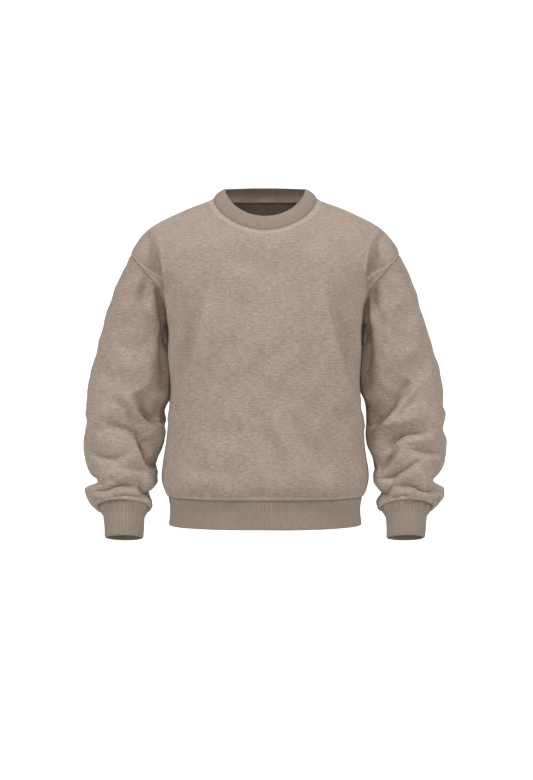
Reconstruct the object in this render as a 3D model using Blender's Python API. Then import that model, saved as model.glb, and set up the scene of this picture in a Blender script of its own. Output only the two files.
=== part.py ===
"""A crewneck sweater in heavy fleece, filled out as if worn and hollow all through.

Blender works in metres with +Z up; the tables here are in millimetres.  The front faces -Y and
the wearer's left is +X.  The origin lies midway between the two points where the shoulder seams
meet the neckline, which is where the garment hangs on its wearer.
"""

import math

import bmesh
import bpy
import numpy as np
from mathutils.bvhtree import BVHTree

MM = 0.001

# ---------------------------------------------------------------- cloth thicknesses, millimetres

FLEECE = 2.4            # wall of the fleece panels
RIB_BASE = 2.4          # wall of the ribbing in the valleys between its ribs
RIB_RISE = 0.8          # height of a rib above the valleys beside it
TAPE = 1.2              # neck tape
SEAM_GAP = 0.34         # clear space between two pieces at their seam
TAPE_GAP = 0.7          # clear space between the neck tape and the back panel
TAPE_START = 1.0        # tape edge below the neck seam
TAPE_WIDTH = 9.0
MITRE_LIMIT = 1.4       # longest wall at a folded seam, in wall thicknesses

# ---------------------------------------------------------------- main sizes, millimetres

NECK_HALF_WIDTH = 103.5     # shoulder seam ends at the neckline
FRONT_NECK_DROP = 74        # neckline below the origin at the centre front
BACK_NECK_RISE = 10         # neckline above the origin at the centre back
ARMPIT_HEIGHT = -298
HEM_SEAM_HEIGHT = -594
BODY_SQUARENESS = 2.4       # exponent of the body's rounded sections: 2 is an ellipse
SLEEVE_SQUARENESS = 2.15
CAP_END_HEIGHT = -350       # level where the sleeve's plain sections start
CONTACT_TOP = -250          # below this the sleeve is kept clear of the body's side
CONTACT_GAP = 2.2           # sleeve clear of the body's side below the armpit

# ---------------------------------------------------------------- counts

NECK_CELLS = 6              # half a neckline, front or back
SHOULDER_CELLS = 7
ARMHOLE_CELLS = 12          # half an armhole, front or back
SIDE_CELLS = 10
SIDE_SPREAD = 1.35          # cells are shorter near the hem, where the body blouses
CAP_CELLS = 10
LOWER_CELLS = 18
HEM_COLUMNS_PER_CELL = 8
CUFF_COLUMNS_PER_CELL = 4
NECK_COLUMNS_PER_CELL = 9
TAPE_COLUMNS = 22
TAPE_ROWS = 3
TAPE_END_CELLS = 1.0        # neckline cells left bare at each end of the tape
FINE = 240                  # samples used to space a line evenly


def table(columns, rows):
    """Named columns, sorted by the first one."""
    values = np.array(sorted(rows), dtype=float)
    return {name: values[:, index] for index, name in enumerate(columns.split())}


# Half width at the side seams, and depth of the centre front and centre back from the side seams.
# Above the armpit the half width is that of the rounded section which the armhole cuts short.
TORSO = table("height half_width front back", (
    (-594, 193, 124, 118),
    (-580, 201, 133, 127),
    (-560, 206, 139, 134),
    (-530, 204, 137, 130),
    (-482, 197, 134, 124),
    (-400, 191, 134, 122),
    (-340, 189, 136, 126),
    (-298, 192, 137, 129),
    (-268, 196, 136, 130),
    (-233, 204, 133, 130),
    (-203, 214, 130, 129),
    (-182, 225, 128, 128),
    (-165, 239, 126, 127),
    (-148, 256, 123, 125),
    (-126, 270, 119, 122),
    (-100, 280, 112, 118),
    (-74, 285, 102, 114),
    (-43, 288, 80, 111),
    (0, 290, 62, 108),
    (40, 290, 58, 106),
))

# The shoulder line from the neck out to the top of the armhole.  Inside the neck it goes on as
# the dome that the neckline is cut from.
SHOULDER = table("out height roll_front roll_back", (
    (0, 45, 150, 90),
    (52, 34, 150, 90),
    (103.5, 0, 130, 95),
    (148, -18, 110, 95),
    (184, -34, 98, 92),
    (216, -50, 90, 88),
    (238, -66, 84, 84),
    (252, -82, 80, 80),
    (262, -98, 76, 76),
    (270, -115, 72, 72),
))

# The armhole seen from the front: from the armpit up the crease, then out to the shoulder tip.
ARMHOLE = table("order out height", (
    (0, 192, -298),
    (1, 194.5, -268),
    (2, 197, -233),
    (3, 200.5, -203),
    (4, 208, -181),
    (5, 222, -165),
    (6, 238, -148),
    (7, 254, -131),
    (8, 269, -114),
))

# Sleeve sections below the cap: outer and inner edges, half depth, middle and forward tilt.
SLEEVE = table("height outer inner half_depth middle tilt", (
    (-350, 350.5, 180, 67, 11, 0),
    (-386, 357, 190, 67, 8, 0),
    (-418, 358, 198, 66, 4, 1),
    (-450, 358, 202, 64, 0, 3),
    (-482, 359, 205, 62, -6, 6),
    (-513, 358, 210, 60, -14, 9),
    (-544, 354, 214, 59, -21, 12),
    (-574, 350, 219, 58, -30, 15),
    (-590, 350, 221, 57, -35, 18),
    (-602, 345, 222, 55, -39, 21),
    (-610, 338, 223.5, 51, -42, 24),
    (-615, 329, 227, 46, -44, 26),
))

# Cuff sections, from the sleeve's seam to the folded lower edge.
CUFF = table("height outer inner half_depth middle tilt", (
    (-669, 311, 239, 31, -60, 16),
    (-629, 316.5, 237.4, 35, -48, 22),
))

# Waistband sections, from the hem seam to the folded lower edge.
HEM = table("height half_width front back", (
    (-648, 191, 122, 118),
    (-616, 188.5, 120, 116),
))

# Collar sections: share of the band's width, and how far the band bows out from a straight line.
COLLAR_TOP = {"half_width": 78, "front": 85, "back": 72, "side_height": 20,
              "front_height": -45, "back_height": 33, "lean": 12}
COLLAR = table("share bow", (
    (0.36, 2.2),
    (0.74, 2.2),
    (1.0, 0.0),
))

# Creases: reach to each side, depth, and the line that they follow.  A negative depth is a ridge.
# On the body the line is given as seen from the front (out, height).
FRONT_CREASES = (
    (19, 22, ((-224, -84), (-211, -118), (-205, -186))),
    (19, 22, ((224, -84), (211, -118), (205, -186))),
    (26, -6, ((-124, -242), (-156, -330), (-184, -420))),
    (26, -6, ((130, -242), (154, -310), (188, -420))),
    (24, 4, ((40, -420), (84, -510), (120, -560))),
)
BACK_CREASES = (
    (19, 18, ((-226, -92), (-214, -124), (-207, -186))),
    (19, 18, ((226, -92), (214, -124), (207, -186))),
    (26, -5, ((-110, -250), (-140, -330), (-176, -430))),
    (26, -5, ((118, -240), (146, -330), (178, -410))),
)
# On a sleeve the line is given as (degrees round the arm, height): 0 faces front, 90 out,
# 180 back and -90 the body.
RIGHT_SLEEVE_CREASES = (
    (18, 6, ((-12, -392), (-50, -406), (-95, -446))),
    (16, 3, ((72, -370), (40, -376), (-16, -420))),
    (18, 6, ((26, -452), (-8, -457), (-32, -476), (-62, -505), (-90, -510))),
    (16, 4, ((95, -494), (40, -505), (-8, -511))),
    (16, 3, ((10, -529), (-30, -533), (-80, -545))),
    (16, 7, ((120, -550), (90, -558), (35, -573), (0, -567), (-40, -577), (-95, -589))),
    (18, 3, ((110, -425), (180, -452), (245, -470))),
    (18, 3, ((130, -540), (190, -528), (250, -560))),
)
LEFT_SLEEVE_CREASES = (
    (16, 9, ((14, -358), (-20, -390), (-64, -436), (-95, -450))),
    (16, 5, ((28, -402), (-4, -430), (-40, -446))),
    (15, 7, ((36, -467), (8, -458), (-24, -467), (-62, -488), (-90, -505))),
    (15, 5, ((90, -504), (35, -498), (4, -494))),
    (14, 4, ((15, -526), (-16, -539), (-50, -556))),
    (15, 8, ((120, -554), (88, -563), (35, -574), (2, -570), (-35, -579), (-90, -588))),
    (14, 5, ((100, -412), (170, -440), (240, -476))),
    (16, 5, ((120, -530), (180, -540), (250, -556))),
)
SLEEVE_ARC = 1.25           # sleeve width in millimetres for a degree round the arm


def spline(places, values, at):
    """Natural cubic spline through values (n or n x k) at the given places, read at `at`."""
    count = len(places)
    span = np.diff(places)
    values = np.asarray(values, dtype=float)
    system = np.eye(count)
    load = np.zeros_like(values)
    for row in range(1, count - 1):
        system[row, row - 1:row + 2] = (span[row - 1], 2 * (span[row - 1] + span[row]), span[row])
        rise = (values[row + 1] - values[row]) / span[row]
        load[row] = 6 * (rise - (values[row] - values[row - 1]) / span[row - 1])
    bend = np.linalg.solve(system, load)
    at = np.clip(np.asarray(at, dtype=float), places[0], places[-1])
    cell = np.clip(np.searchsorted(places, at, side="right") - 1, 0, count - 2)
    width = span[cell]
    along = at - places[cell]
    if values.ndim > 1:
        width = width[..., None]
        along = along[..., None]
    slope = (values[cell + 1] - values[cell]) / width
    slope = slope - width * (2 * bend[cell] + bend[cell + 1]) / 6
    cubic = (bend[cell + 1] - bend[cell]) / (6 * width)
    return values[cell] + along * (slope + along * (bend[cell] / 2 + along * cubic))


def read(rows, column, at):
    """One column of a table at a place along its first column."""
    first = next(iter(rows))
    return spline(rows[first], rows[column], at)


def rounded(share, squareness):
    """Depth of a rounded section of half width 1 at a share of that half width."""
    return np.clip(1 - np.abs(share) ** squareness, 0, None) ** (1 / squareness)


def torso_depth(face, out, height):
    """How far the front or back panel lies from the side seams' plane."""
    across = np.abs(out)
    depth = read(TORSO, face, height) * rounded(across / read(TORSO, "half_width", height),
                                                BODY_SQUARENESS)
    fall = read(SHOULDER, "height", across) - height
    share = np.clip(fall / read(SHOULDER, "roll_" + face, across), 0, 1)
    return depth * np.sqrt(1 - (1 - share) ** 2)


def evenly(points, cells):
    """The same line, cut into cells of equal length."""
    steps = np.linalg.norm(np.diff(points, axis=0), axis=1)
    reach = np.concatenate(([0.0], np.cumsum(steps)))
    at = np.linspace(0, reach[-1], cells + 1)
    return np.stack([np.interp(at, reach, points[:, axis]) for axis in range(3)], axis=1)


def neckline_height(face, turn):
    """Height of the neckline at an angle from the centre (0) to the shoulder (half pi)."""
    centre = -FRONT_NECK_DROP if face == "front" else BACK_NECK_RISE
    return centre * np.cos(turn) ** 1.2


def half_panel(face):
    """The wearer's left half of a body panel: rows from hem to shoulder, columns out from the
    centre, on the fabric's outer face."""
    sign = -1 if face == "front" else 1
    centre_top = neckline_height(face, 0.0)
    ease = np.sin(np.linspace(0, math.pi / 2, FINE))
    corner = NECK_CELLS / (NECK_CELLS + SHOULDER_CELLS)
    across = np.unique(np.concatenate((corner * ease, corner + (1 - corner) * ease)))
    is_neck = across <= corner
    turn = np.clip(across / corner, 0, 1) * math.pi / 2
    out_top = np.where(is_neck, NECK_HALF_WIDTH * np.sin(turn),
                       NECK_HALF_WIDTH + (across - corner) / (1 - corner)
                       * (ARMHOLE["out"][-1] - NECK_HALF_WIDTH))
    height_top = np.where(is_neck, neckline_height(face, turn),
                          read(SHOULDER, "height", out_top))

    def row(edge_out, edge_height, centre_height, lift):
        out = edge_out * across + lift * (out_top - ARMHOLE["out"][-1] * across)
        sag = across ** 2
        height = centre_height + (edge_height - centre_height) * sag
        flat_top = centre_top + (ARMHOLE["height"][-1] - centre_top) * sag
        height = height + lift * (height_top - flat_top)
        points = np.stack((out, sign * torso_depth(face, out, height), height), axis=1)
        split = np.count_nonzero(is_neck)
        neck = evenly(points[:split], NECK_CELLS)
        shoulder = evenly(points[split - 1:], SHOULDER_CELLS)
        return np.concatenate((neck, shoulder[1:]))

    climb = np.linspace(0, 1, SIDE_CELLS + 1) ** SIDE_SPREAD
    side_levels = HEM_SEAM_HEIGHT + (ARMPIT_HEIGHT - HEM_SEAM_HEIGHT) * climb
    lower = [row(read(TORSO, "half_width", height), height, height, 0.0)
             for height in side_levels]
    order = ARMHOLE["order"] / ARMHOLE["order"][-1]
    above = []
    for share in ease:
        edge_out = spline(order, ARMHOLE["out"], share)
        edge_height = spline(order, ARMHOLE["height"], share)
        centre = ARMPIT_HEIGHT + share * (centre_top - ARMPIT_HEIGHT)
        above.append(row(edge_out, edge_height, centre, share ** 2))
    above = np.array(above)
    above = np.stack([evenly(above[:, column], ARMHOLE_CELLS)
                      for column in range(above.shape[1])], axis=1)
    return np.concatenate((np.array(lower), above[1:]))


def mirrored(points):
    return points * np.array((-1.0, 1.0, 1.0))


def crease_pull(across, height, crease, slack):
    """How deep a crease pulls the cloth in.  In slack cloth it comes in gently from above and
    steps out sharply below, over a small lip; in stretched cloth both sides are alike."""
    reach, depth, points = crease
    points = np.array(points, dtype=float)
    steps = np.concatenate(([0.0], np.cumsum(np.hypot(*np.diff(points, axis=0).T))))
    share = np.linspace(0, 1, 40)
    line = spline(steps / steps[-1], points, share)
    side = across[..., None] - line[:, 0]
    rise = height[..., None] - line[:, 1]
    nearest = np.argmin(np.hypot(side, rise), axis=-1)[..., None]
    gap = np.take_along_axis(np.hypot(side, rise), nearest, axis=-1)[..., 0]
    above = np.take_along_axis(rise, nearest, axis=-1)[..., 0] > 0
    taper = np.sin(np.pi * np.clip(share[nearest[..., 0]], 0.05, 0.95)) ** 0.6
    sharp = slack & ~above
    trough = np.exp(-(gap / np.where(sharp, 0.75 * reach, reach)) ** 2)
    lip = np.where(sharp, 0.25 * np.exp(-((gap - 1.4 * reach) / (0.6 * reach)) ** 2), 0.0)
    return depth * taper * (trough - lip)


def body_panel(face):
    """A whole body panel: rows from hem to shoulder, columns from the wearer's right to left."""
    half = half_panel(face)
    panel = np.concatenate((mirrored(half[:, :0:-1]), half), axis=1)
    edge = 1 - np.abs(np.linspace(-1, 1, panel.shape[1]))
    rows = np.linspace(0, 1, panel.shape[0])[:, None]
    hold = np.clip(edge * 7, 0, 1) * np.clip(rows * 6, 0, 1) * np.clip((1 - rows) * 8, 0, 1)
    inward = 1 if face == "front" else -1
    for crease in FRONT_CREASES if face == "front" else BACK_CREASES:
        panel[..., 1] += inward * hold * crease_pull(panel[..., 0], panel[..., 2], crease, False)
    return panel


def section(rows, height, turn):
    """A point of a sleeve or cuff section: turn 0 faces front, 90 degrees faces out."""
    outer = read(rows, "outer", height)
    inner = read(rows, "inner", height)
    deep = read(rows, "half_depth", height)
    tilt = np.radians(read(rows, "tilt", height))
    power = 2 / SLEEVE_SQUARENESS
    side = np.sign(np.sin(turn)) * np.abs(np.sin(turn)) ** power
    fore = np.sign(np.cos(turn)) * np.abs(np.cos(turn)) ** power
    return np.stack(((outer + inner) / 2 + (outer - inner) / 2 * side,
                     read(rows, "middle", height) - deep * np.cos(tilt) * fore,
                     height + deep * np.sin(tilt) * fore), axis=-1)


def unit(vectors):
    return vectors / np.linalg.norm(vectors, axis=-1, keepdims=True)


def sleeve(front, back, creases):
    """A sleeve on the wearer's left: rows from the armhole to the cuff seam, columns round the
    arm from the armpit by the front, and back again."""
    rise = SIDE_CELLS
    loop = np.concatenate((front[rise:, -1], back[-2:rise:-1, -1]))
    turn = np.linspace(0, 2 * math.pi, len(loop), endpoint=False) - math.pi / 2
    end = section(SLEEVE, np.full(len(loop), float(CAP_END_HEIGHT)), turn)
    outward = (1 + np.sin(turn)) / 2
    leave = unit(np.stack((0.06 + 0.36 * outward, -0.22 * np.cos(turn), np.full(len(loop), -0.9)),
                          axis=1))
    arrive = unit(np.stack((0.25 * outward, 0 * turn, -np.ones(len(loop))), axis=1))
    reach = np.linalg.norm(end - loop, axis=1)[:, None] / 3
    second = loop + leave * reach
    third = end - arrive * reach
    rows = []
    for share in np.linspace(0, 1, CAP_CELLS + 1):
        rest = 1 - share
        rows.append(rest ** 3 * loop + 3 * rest ** 2 * share * second
                    + 3 * rest * share ** 2 * third + share ** 3 * end)
    lower = np.linspace(CAP_END_HEIGHT, SLEEVE["height"][3], LOWER_CELLS + 1)[1:]
    levels = np.concatenate((lower, SLEEVE["height"][2::-1]))
    rows += [section(SLEEVE, np.full(len(loop), level), turn) for level in levels]
    rows = creased(np.array(rows), turn, creases)
    for row in rows[1:]:
        for face, side in (("front", row[:, 1] <= 0), ("back", row[:, 1] > 0)):
            depth = read(TORSO, face, row[side, 2])
            width = read(TORSO, "half_width", row[side, 2])
            body = width * rounded(row[side, 1] / depth, BODY_SQUARENESS) + CONTACT_GAP
            below = row[side, 2] < CONTACT_TOP
            row[side, 0] = np.where(below, np.maximum(row[side, 0], body), row[side, 0])
    return rows


def creased(grid, turn, creases):
    """A sleeve's grid with its creases pulled in."""
    outward = -face_normals(grid, True)
    degrees = np.broadcast_to(np.degrees(turn), grid.shape[:2])
    hold = np.clip((len(grid) - 1 - np.arange(len(grid))) / 3, 0, 1)[:, None]
    pull = np.zeros(grid.shape[:2])
    for crease in creases:
        reach, depth, points = crease
        line = tuple((angle * SLEEVE_ARC, height) for angle, height in points)
        for lap in (-360, 0, 360):
            across = (degrees + lap) * SLEEVE_ARC
            pull += crease_pull(across, grid[..., 2], (reach, depth, line), True)
    return grid - outward * (hold * pull)[..., None]


def face_normals(grid, closed):
    """Summed face normals at each point of a grid."""
    ring = np.concatenate((grid, grid[:, :1]), axis=1) if closed else grid
    diagonal_a = ring[1:, 1:] - ring[:-1, :-1]
    diagonal_b = ring[1:, :-1] - ring[:-1, 1:]
    cell = np.cross(diagonal_a, diagonal_b)
    total = np.zeros_like(ring)
    for down in (slice(0, -1), slice(1, None)):
        for over in (slice(0, -1), slice(1, None)):
            total[down, over] += cell
    if closed:
        total[:, 0] += total[:, -1]
        total = total[:, :-1]
    return unit(total)


def seam_directions(grids):
    """Outward directions for the points of several grids, shared where their edges meet.  The
    body's two panels count as one side of a seam and the sleeve as the other."""
    normals = {name: face_normals(grid, closed) * way
               for name, (grid, closed, way) in grids.items()}
    sides = {}
    for name, (grid, closed, way) in grids.items():
        for point, normal in zip(grid.reshape(-1, 3), normals[name].reshape(-1, 3)):
            key = tuple(np.round(point, 2) + 0.0)
            sides.setdefault(key, {True: np.zeros(3), False: np.zeros(3)})[closed] += normal
    means = {}
    for key, pair in sides.items():
        means[key] = unit(sum(unit(side) for side in pair.values() if side.any()))
    result = {}
    for name, (grid, closed, way) in grids.items():
        flat = []
        for point, normal in zip(grid.reshape(-1, 3), normals[name].reshape(-1, 3)):
            mean = means[tuple(np.round(point, 2) + 0.0)]
            stretch = 1 / max(float(np.dot(mean, normal)), 1 / MITRE_LIMIT)
            flat.append(mean * stretch)
        result[name] = np.array(flat).reshape(grid.shape)
    return result


def edge_pull(line, inside, outward, closed):
    """A move of half the seam gap, square to an edge and along the cloth."""
    if closed:
        along = np.roll(line, -1, axis=0) - np.roll(line, 1, axis=0)
    else:
        along = np.gradient(line, axis=0)
    across = unit(np.cross(along, outward))
    way = np.sign(np.sum(across * (inside - line), axis=1, keepdims=True))
    return SEAM_GAP / 2 * way * across


def drawn_in(grid, outward, closed, free_end=False):
    """A grid with its seam edges pulled in by half the seam gap."""
    moved = grid.copy()
    moved[0] += edge_pull(grid[0], grid[1], outward[0], closed)
    if not free_end:
        moved[-1] += edge_pull(grid[-1], grid[-2], outward[-1], closed)
    if not closed:
        moved[:, 0] += edge_pull(grid[:, 0], grid[:, 1], outward[:, 0], False)
        moved[:, -1] += edge_pull(grid[:, -1], grid[:, -2], outward[:, -1], False)
    return moved


def strip(mesh, long_row, short_row):
    """Triangles between two rows of vertices, where the long one is cut finer."""
    finer = (len(long_row) - 1) // (len(short_row) - 1)
    for cell in range(len(short_row) - 1):
        first = long_row[cell * finer:(cell + 1) * finer + 1]
        half = finer // 2
        if finer == 1:
            mesh.faces.new((first[0], first[1], short_row[cell + 1], short_row[cell]))
            continue
        for step in range(finer):
            tip = short_row[cell] if step < half else short_row[cell + 1]
            mesh.faces.new((first[step], first[step + 1], tip))
        mesh.faces.new((first[half], short_row[cell + 1], short_row[cell]))


def wall(name, outer, inner, closed, colour, roughness):
    """A closed wall between an outer and an inner grid of points, as a named object."""
    mesh = bmesh.new()
    sides = []
    for grid in (outer, inner):
        rows = [[mesh.verts.new(point * MM) for point in row] for row in grid]
        if closed:
            rows = [row + row[:1] for row in rows]
        for low, high in zip(rows, rows[1:]):
            strip(mesh, low, high)
        sides.append(rows)
    strip(mesh, sides[0][0], sides[1][0])
    strip(mesh, sides[0][-1], sides[1][-1])
    if not closed:
        for column in (0, -1):
            strip(mesh, [row[column] for row in sides[0]], [row[column] for row in sides[1]])
    bmesh.ops.recalc_face_normals(mesh, faces=mesh.faces)
    data = bpy.data.meshes.new(name)
    mesh.to_mesh(data)
    mesh.free()
    data.shade_smooth()
    data.set_sharp_from_angle(angle=math.radians(50))
    piece = bpy.data.objects.new(name, data)
    bpy.context.collection.objects.link(piece)
    data.materials.append(cloth(name, colour, roughness))
    return piece


def cloth(name, colour, roughness):
    material = bpy.data.materials.new(name)
    material.use_nodes = True
    shader = material.node_tree.nodes["Principled BSDF"]
    shader.inputs["Base Color"].default_value = (*colour, 1)
    shader.inputs["Roughness"].default_value = roughness
    shader.inputs["Metallic"].default_value = 0
    return material


FLEECE_COLOUR = (0.36, 0.29, 0.24)
RIB_COLOUR = (0.29, 0.23, 0.19)
TAPE_COLOUR = (0.16, 0.13, 0.11)


def panel(name, grid, outward, closed):
    """A fleece piece: its outer face is the grid, its inner face lies one wall inside."""
    inner = grid - outward * FLEECE
    return wall(name, drawn_in(grid, outward, closed), drawn_in(inner, outward, closed), closed,
                FLEECE_COLOUR, 0.95)


def cut_finer(points, columns):
    """A closed seam line cut into `columns` parts a cell, still on the seam's straight cells."""
    ring = np.concatenate((points, points[:1]))
    cells = np.arange(len(points) * columns) / columns
    low = cells.astype(int)
    share = (cells - low)[:, None]
    return ring[low] * (1 - share) + ring[low + 1] * share


def rib_band(name, rings, outward, columns):
    """A folded rib band.  `rings` are its closed sections, the first on the seam; the ribs run
    from the seam to the free edge, and the inside is plain."""
    rings = np.array(rings)
    outward = np.array(outward)
    ribs = RIB_RISE * (np.arange(rings.shape[1]) % 2)[None, :, None]
    outer = rings + outward * ribs
    inner = (rings - outward * RIB_BASE)[:, ::columns]
    return wall(name, drawn_in(outer, outward, True, True),
                drawn_in(inner, outward[:, ::columns], True, True), True, RIB_COLOUR, 0.9)


def torso_ring(like, rows, height):
    """A section of the waistband, its points spread as those of the seam above."""
    scale_out = read(rows, "half_width", height) / np.abs(like[:, 0]).max()
    ring = like.copy()
    ring[:, 0] *= scale_out
    for face, side in (("front", like[:, 1] < 0), ("back", like[:, 1] >= 0)):
        ring[side, 1] *= read(rows, face, height) / np.abs(like[side, 1]).max()
    ring[:, 2] = height
    return ring


def collar_top(turn):
    """The collar's free edge: turn 0 is the centre front, pi the centre back."""
    size = COLLAR_TOP
    front = np.cos(turn) > 0
    swing = np.abs(np.cos(turn))
    deep = np.where(front, -size["front"], size["back"]) * swing
    end = np.where(front, size["front_height"], size["back_height"])
    height = size["side_height"] + (end - size["side_height"]) * swing ** 1.2
    return np.stack((size["half_width"] * np.sin(turn), deep, height), axis=1)


def waistband(front, back, outward):
    """The hem rib, from the panels' lower edges down."""
    seam = cut_finer(np.concatenate((front[0], back[0, -2:0:-1])), HEM_COLUMNS_PER_CELL)
    seam_out = cut_finer(np.concatenate((outward["front"][0], outward["back"][0, -2:0:-1])),
                         HEM_COLUMNS_PER_CELL)
    level_out = unit(seam * np.array((1.0, 1.0, 0.0)))
    rings = [seam]
    away = [seam_out]
    for height in HEM["height"][::-1]:
        rings.append(torso_ring(seam, HEM, height))
        away.append(level_out)
    rib_band("hem_rib", rings, away, HEM_COLUMNS_PER_CELL)


def cuff(name, seam, seam_out, mirror):
    """A cuff, from the sleeve's lower edge down."""
    rings = [cut_finer(seam, CUFF_COLUMNS_PER_CELL)]
    away = [cut_finer(seam_out, CUFF_COLUMNS_PER_CELL)]
    turn = np.linspace(0, 2 * math.pi, len(rings[0]), endpoint=False) - math.pi / 2
    for height in CUFF["height"][::-1]:
        ring = section(CUFF, np.full(len(turn), height), turn) * mirror
        rings.append(ring)
        away.append(unit(ring - ring.mean(axis=0)))
    rib_band(name, rings, away, CUFF_COLUMNS_PER_CELL)


def collar(front, back, outward):
    """The neck rib, from the neckline up and in."""
    seam = cut_finer(np.concatenate((front, back[-2:0:-1])), NECK_COLUMNS_PER_CELL)
    seam_out = cut_finer(np.concatenate((outward["front"], outward["back"][-2:0:-1])),
                         NECK_COLUMNS_PER_CELL)
    turn = np.linspace(0, 2 * math.pi, len(seam), endpoint=False) - math.pi / 2
    top = collar_top(turn)
    top_out = unit(top * np.array((1.0, 1.0, 0.0)) + np.array((0.0, 0.0, COLLAR_TOP["lean"])))
    rings = [seam]
    away = [seam_out]
    for share, bow in zip(COLLAR["share"], COLLAR["bow"]):
        direction = unit((1 - share) * seam_out + share * top_out)
        rings.append((1 - share) * seam + share * top + bow * direction)
        away.append(direction)
    rib_band("neck_rib", rings, away, NECK_COLUMNS_PER_CELL)


def neck_tape(panel_object, back, outward):
    """The tape inside the back neck seam, laid on the back panel's inner face.  The last two
    arguments are the panel's top two rows over the neckline, the seam's last."""
    inside = back - outward * FLEECE
    down = unit(inside[0] - inside[1])
    cells = np.arange(inside.shape[1])
    fine = np.linspace(TAPE_END_CELLS, cells[-1] - TAPE_END_CELLS, TAPE_COLUMNS)
    skin = BVHTree.FromObject(panel_object, bpy.context.evaluated_depsgraph_get())
    rows = []
    ways = []
    for step in np.linspace(TAPE_START, TAPE_START + TAPE_WIDTH, TAPE_ROWS):
        guess = inside[1] + down * step - outward[1] * TAPE
        line = np.stack([np.interp(fine, cells, guess[:, axis]) for axis in range(3)], axis=1)
        found = [skin.find_nearest(point * MM)[:2] for point in line]
        ways.append([normal[:] for place, normal in found])
        rows.append([place[:] for place, normal in found])
    face = np.array(rows) / MM + np.array(ways) * TAPE_GAP
    wall("neck_tape", face, face + np.array(ways) * TAPE, False, TAPE_COLOUR, 0.85)


def build():
    front = body_panel("front")
    back = body_panel("back")
    left = sleeve(front, back, LEFT_SLEEVE_CREASES)
    right = mirrored(sleeve(front, back, RIGHT_SLEEVE_CREASES))
    grids = {
        "front": (front, False, 1),
        "back": (back, False, -1),
        "sleeve_left": (left, True, -1),
        "sleeve_right": (right, True, 1),
    }
    outward = seam_directions(grids)
    pieces = {name: panel(name, grid, outward[name], closed)
              for name, (grid, closed, way) in grids.items()}

    waistband(front, back, outward)
    cuff("cuff_left", left[-1], outward["sleeve_left"][-1], np.array((1.0, 1.0, 1.0)))
    cuff("cuff_right", right[-1], outward["sleeve_right"][-1], np.array((-1.0, 1.0, 1.0)))
    middle = front.shape[1] // 2
    neck = slice(middle - NECK_CELLS, middle + NECK_CELLS + 1)
    neck_out = {face: outward[face][-1, neck] for face in ("front", "back")}
    collar(front[-1, neck], back[-1, neck], neck_out)
    neck_tape(pieces["back"], back[-2:, neck], outward["back"][-2:, neck])


for old in list(bpy.data.objects):
    bpy.data.objects.remove(old, do_unlink=True)
build()
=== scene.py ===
"""The looks of a crewneck sweater in heavy fleece, filled out as if worn and hollow all through.

Tables and sizes are in millimetres, and MM turns them into metres.  +Z is up, the front faces -Y
and the wearer's left is +X.  The origin lies midway between the two points where the shoulder
seams meet the neckline.
"""

import math

import bpy
import numpy as np
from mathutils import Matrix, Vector


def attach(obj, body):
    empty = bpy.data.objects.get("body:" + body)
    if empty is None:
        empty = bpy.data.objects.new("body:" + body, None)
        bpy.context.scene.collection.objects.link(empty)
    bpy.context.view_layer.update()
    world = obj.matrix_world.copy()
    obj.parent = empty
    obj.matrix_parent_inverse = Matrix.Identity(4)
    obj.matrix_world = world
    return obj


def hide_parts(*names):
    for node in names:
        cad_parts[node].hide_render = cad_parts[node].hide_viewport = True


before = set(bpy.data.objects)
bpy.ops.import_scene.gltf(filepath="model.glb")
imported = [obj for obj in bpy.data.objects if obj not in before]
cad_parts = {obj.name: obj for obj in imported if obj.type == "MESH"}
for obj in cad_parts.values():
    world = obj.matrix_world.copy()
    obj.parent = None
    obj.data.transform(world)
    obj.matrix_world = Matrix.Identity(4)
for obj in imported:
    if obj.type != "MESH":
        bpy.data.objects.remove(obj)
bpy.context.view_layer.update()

MM = 0.001

# ---------------------------------------------------------------- cloth, millimetres

FLEECE = 2.2                # wall of the fleece panels
RIB_WALL = 2.6              # folded rib band, from face to face in its valleys
RIB_RISE = 0.95             # height of a rib above the valleys beside it
TAPE = 1.0
TAPE_WIDTH = 9.0
TAPE_ROWS = 9
TAPE_ENDS = 3               # columns of the back neck left free at each end of the tape
TAPE_UNDER = 0.3            # how far its inner face lies off the back panel
TAPE_OVER = 0.5             # and its outer face, besides its crowned thickness
TAPE_DROP = 1.4             # from the neck seam to the tape's edge
RIB_PITCH = 4.7
WAIST_GIRTH = 975           # lengths that the ribs are counted on
CUFF_GIRTH = 226
NECK_GIRTH = 500
SEAM_SLIT = 0.1             # left between two sewn pieces
STITCH_PITCH = 3.4
STITCH_LENGTH = 2.5
STITCH_GAPS = (2.6, 7.6)    # the twin rows, from the neck and armhole seams
HEM_STITCH_DROP = 0.6       # how much further from the hem seam they run
CUFF_STITCH_GAPS = (2.8, 7.8)
THREAD = 0.85

# ---------------------------------------------------------------- main sizes, millimetres

NECK_HALF_WIDTH = 103.5     # shoulder seam ends at the neckline
FRONT_NECK_DROP = 74        # neckline below the origin at the centre front
BACK_NECK_RISE = 10         # neckline above the origin at the centre back
ARMPIT_HEIGHT = -298
HEM_SEAM_HEIGHT = -594
BODY_SQUARENESS = 2.4       # exponent of the body's rounded sections: 2 is an ellipse
SLEEVE_SQUARENESS = 2.15
CAP_END_HEIGHT = -350       # level where the sleeve's plain sections start
CUFF_SEAM_HEIGHT = -615
CONTACT_TOP = -250          # below this the sleeve is kept clear of the body's side
CONTACT_GAP = 2.2

# ---------------------------------------------------------------- counts

NECK_CELLS = 34             # half a neckline, front or back
SHOULDER_CELLS = 52
ARMHOLE_CELLS = 84          # half an armhole, front or back
SIDE_CELLS = 112
CAP_CELLS = 74
LOWER_CELLS = 104
FAR = 60.0                  # a distance from a seam at which nothing of it shows
FINE = 300                  # samples used to space a line evenly
NECK_SHARE = 0.5            # share of a half panel's width that runs up to the neckline
LIFT = 4                    # how late the rows bend up towards the neckline and shoulder
RIB_COLUMNS = 8             # columns of points for one rib


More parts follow.
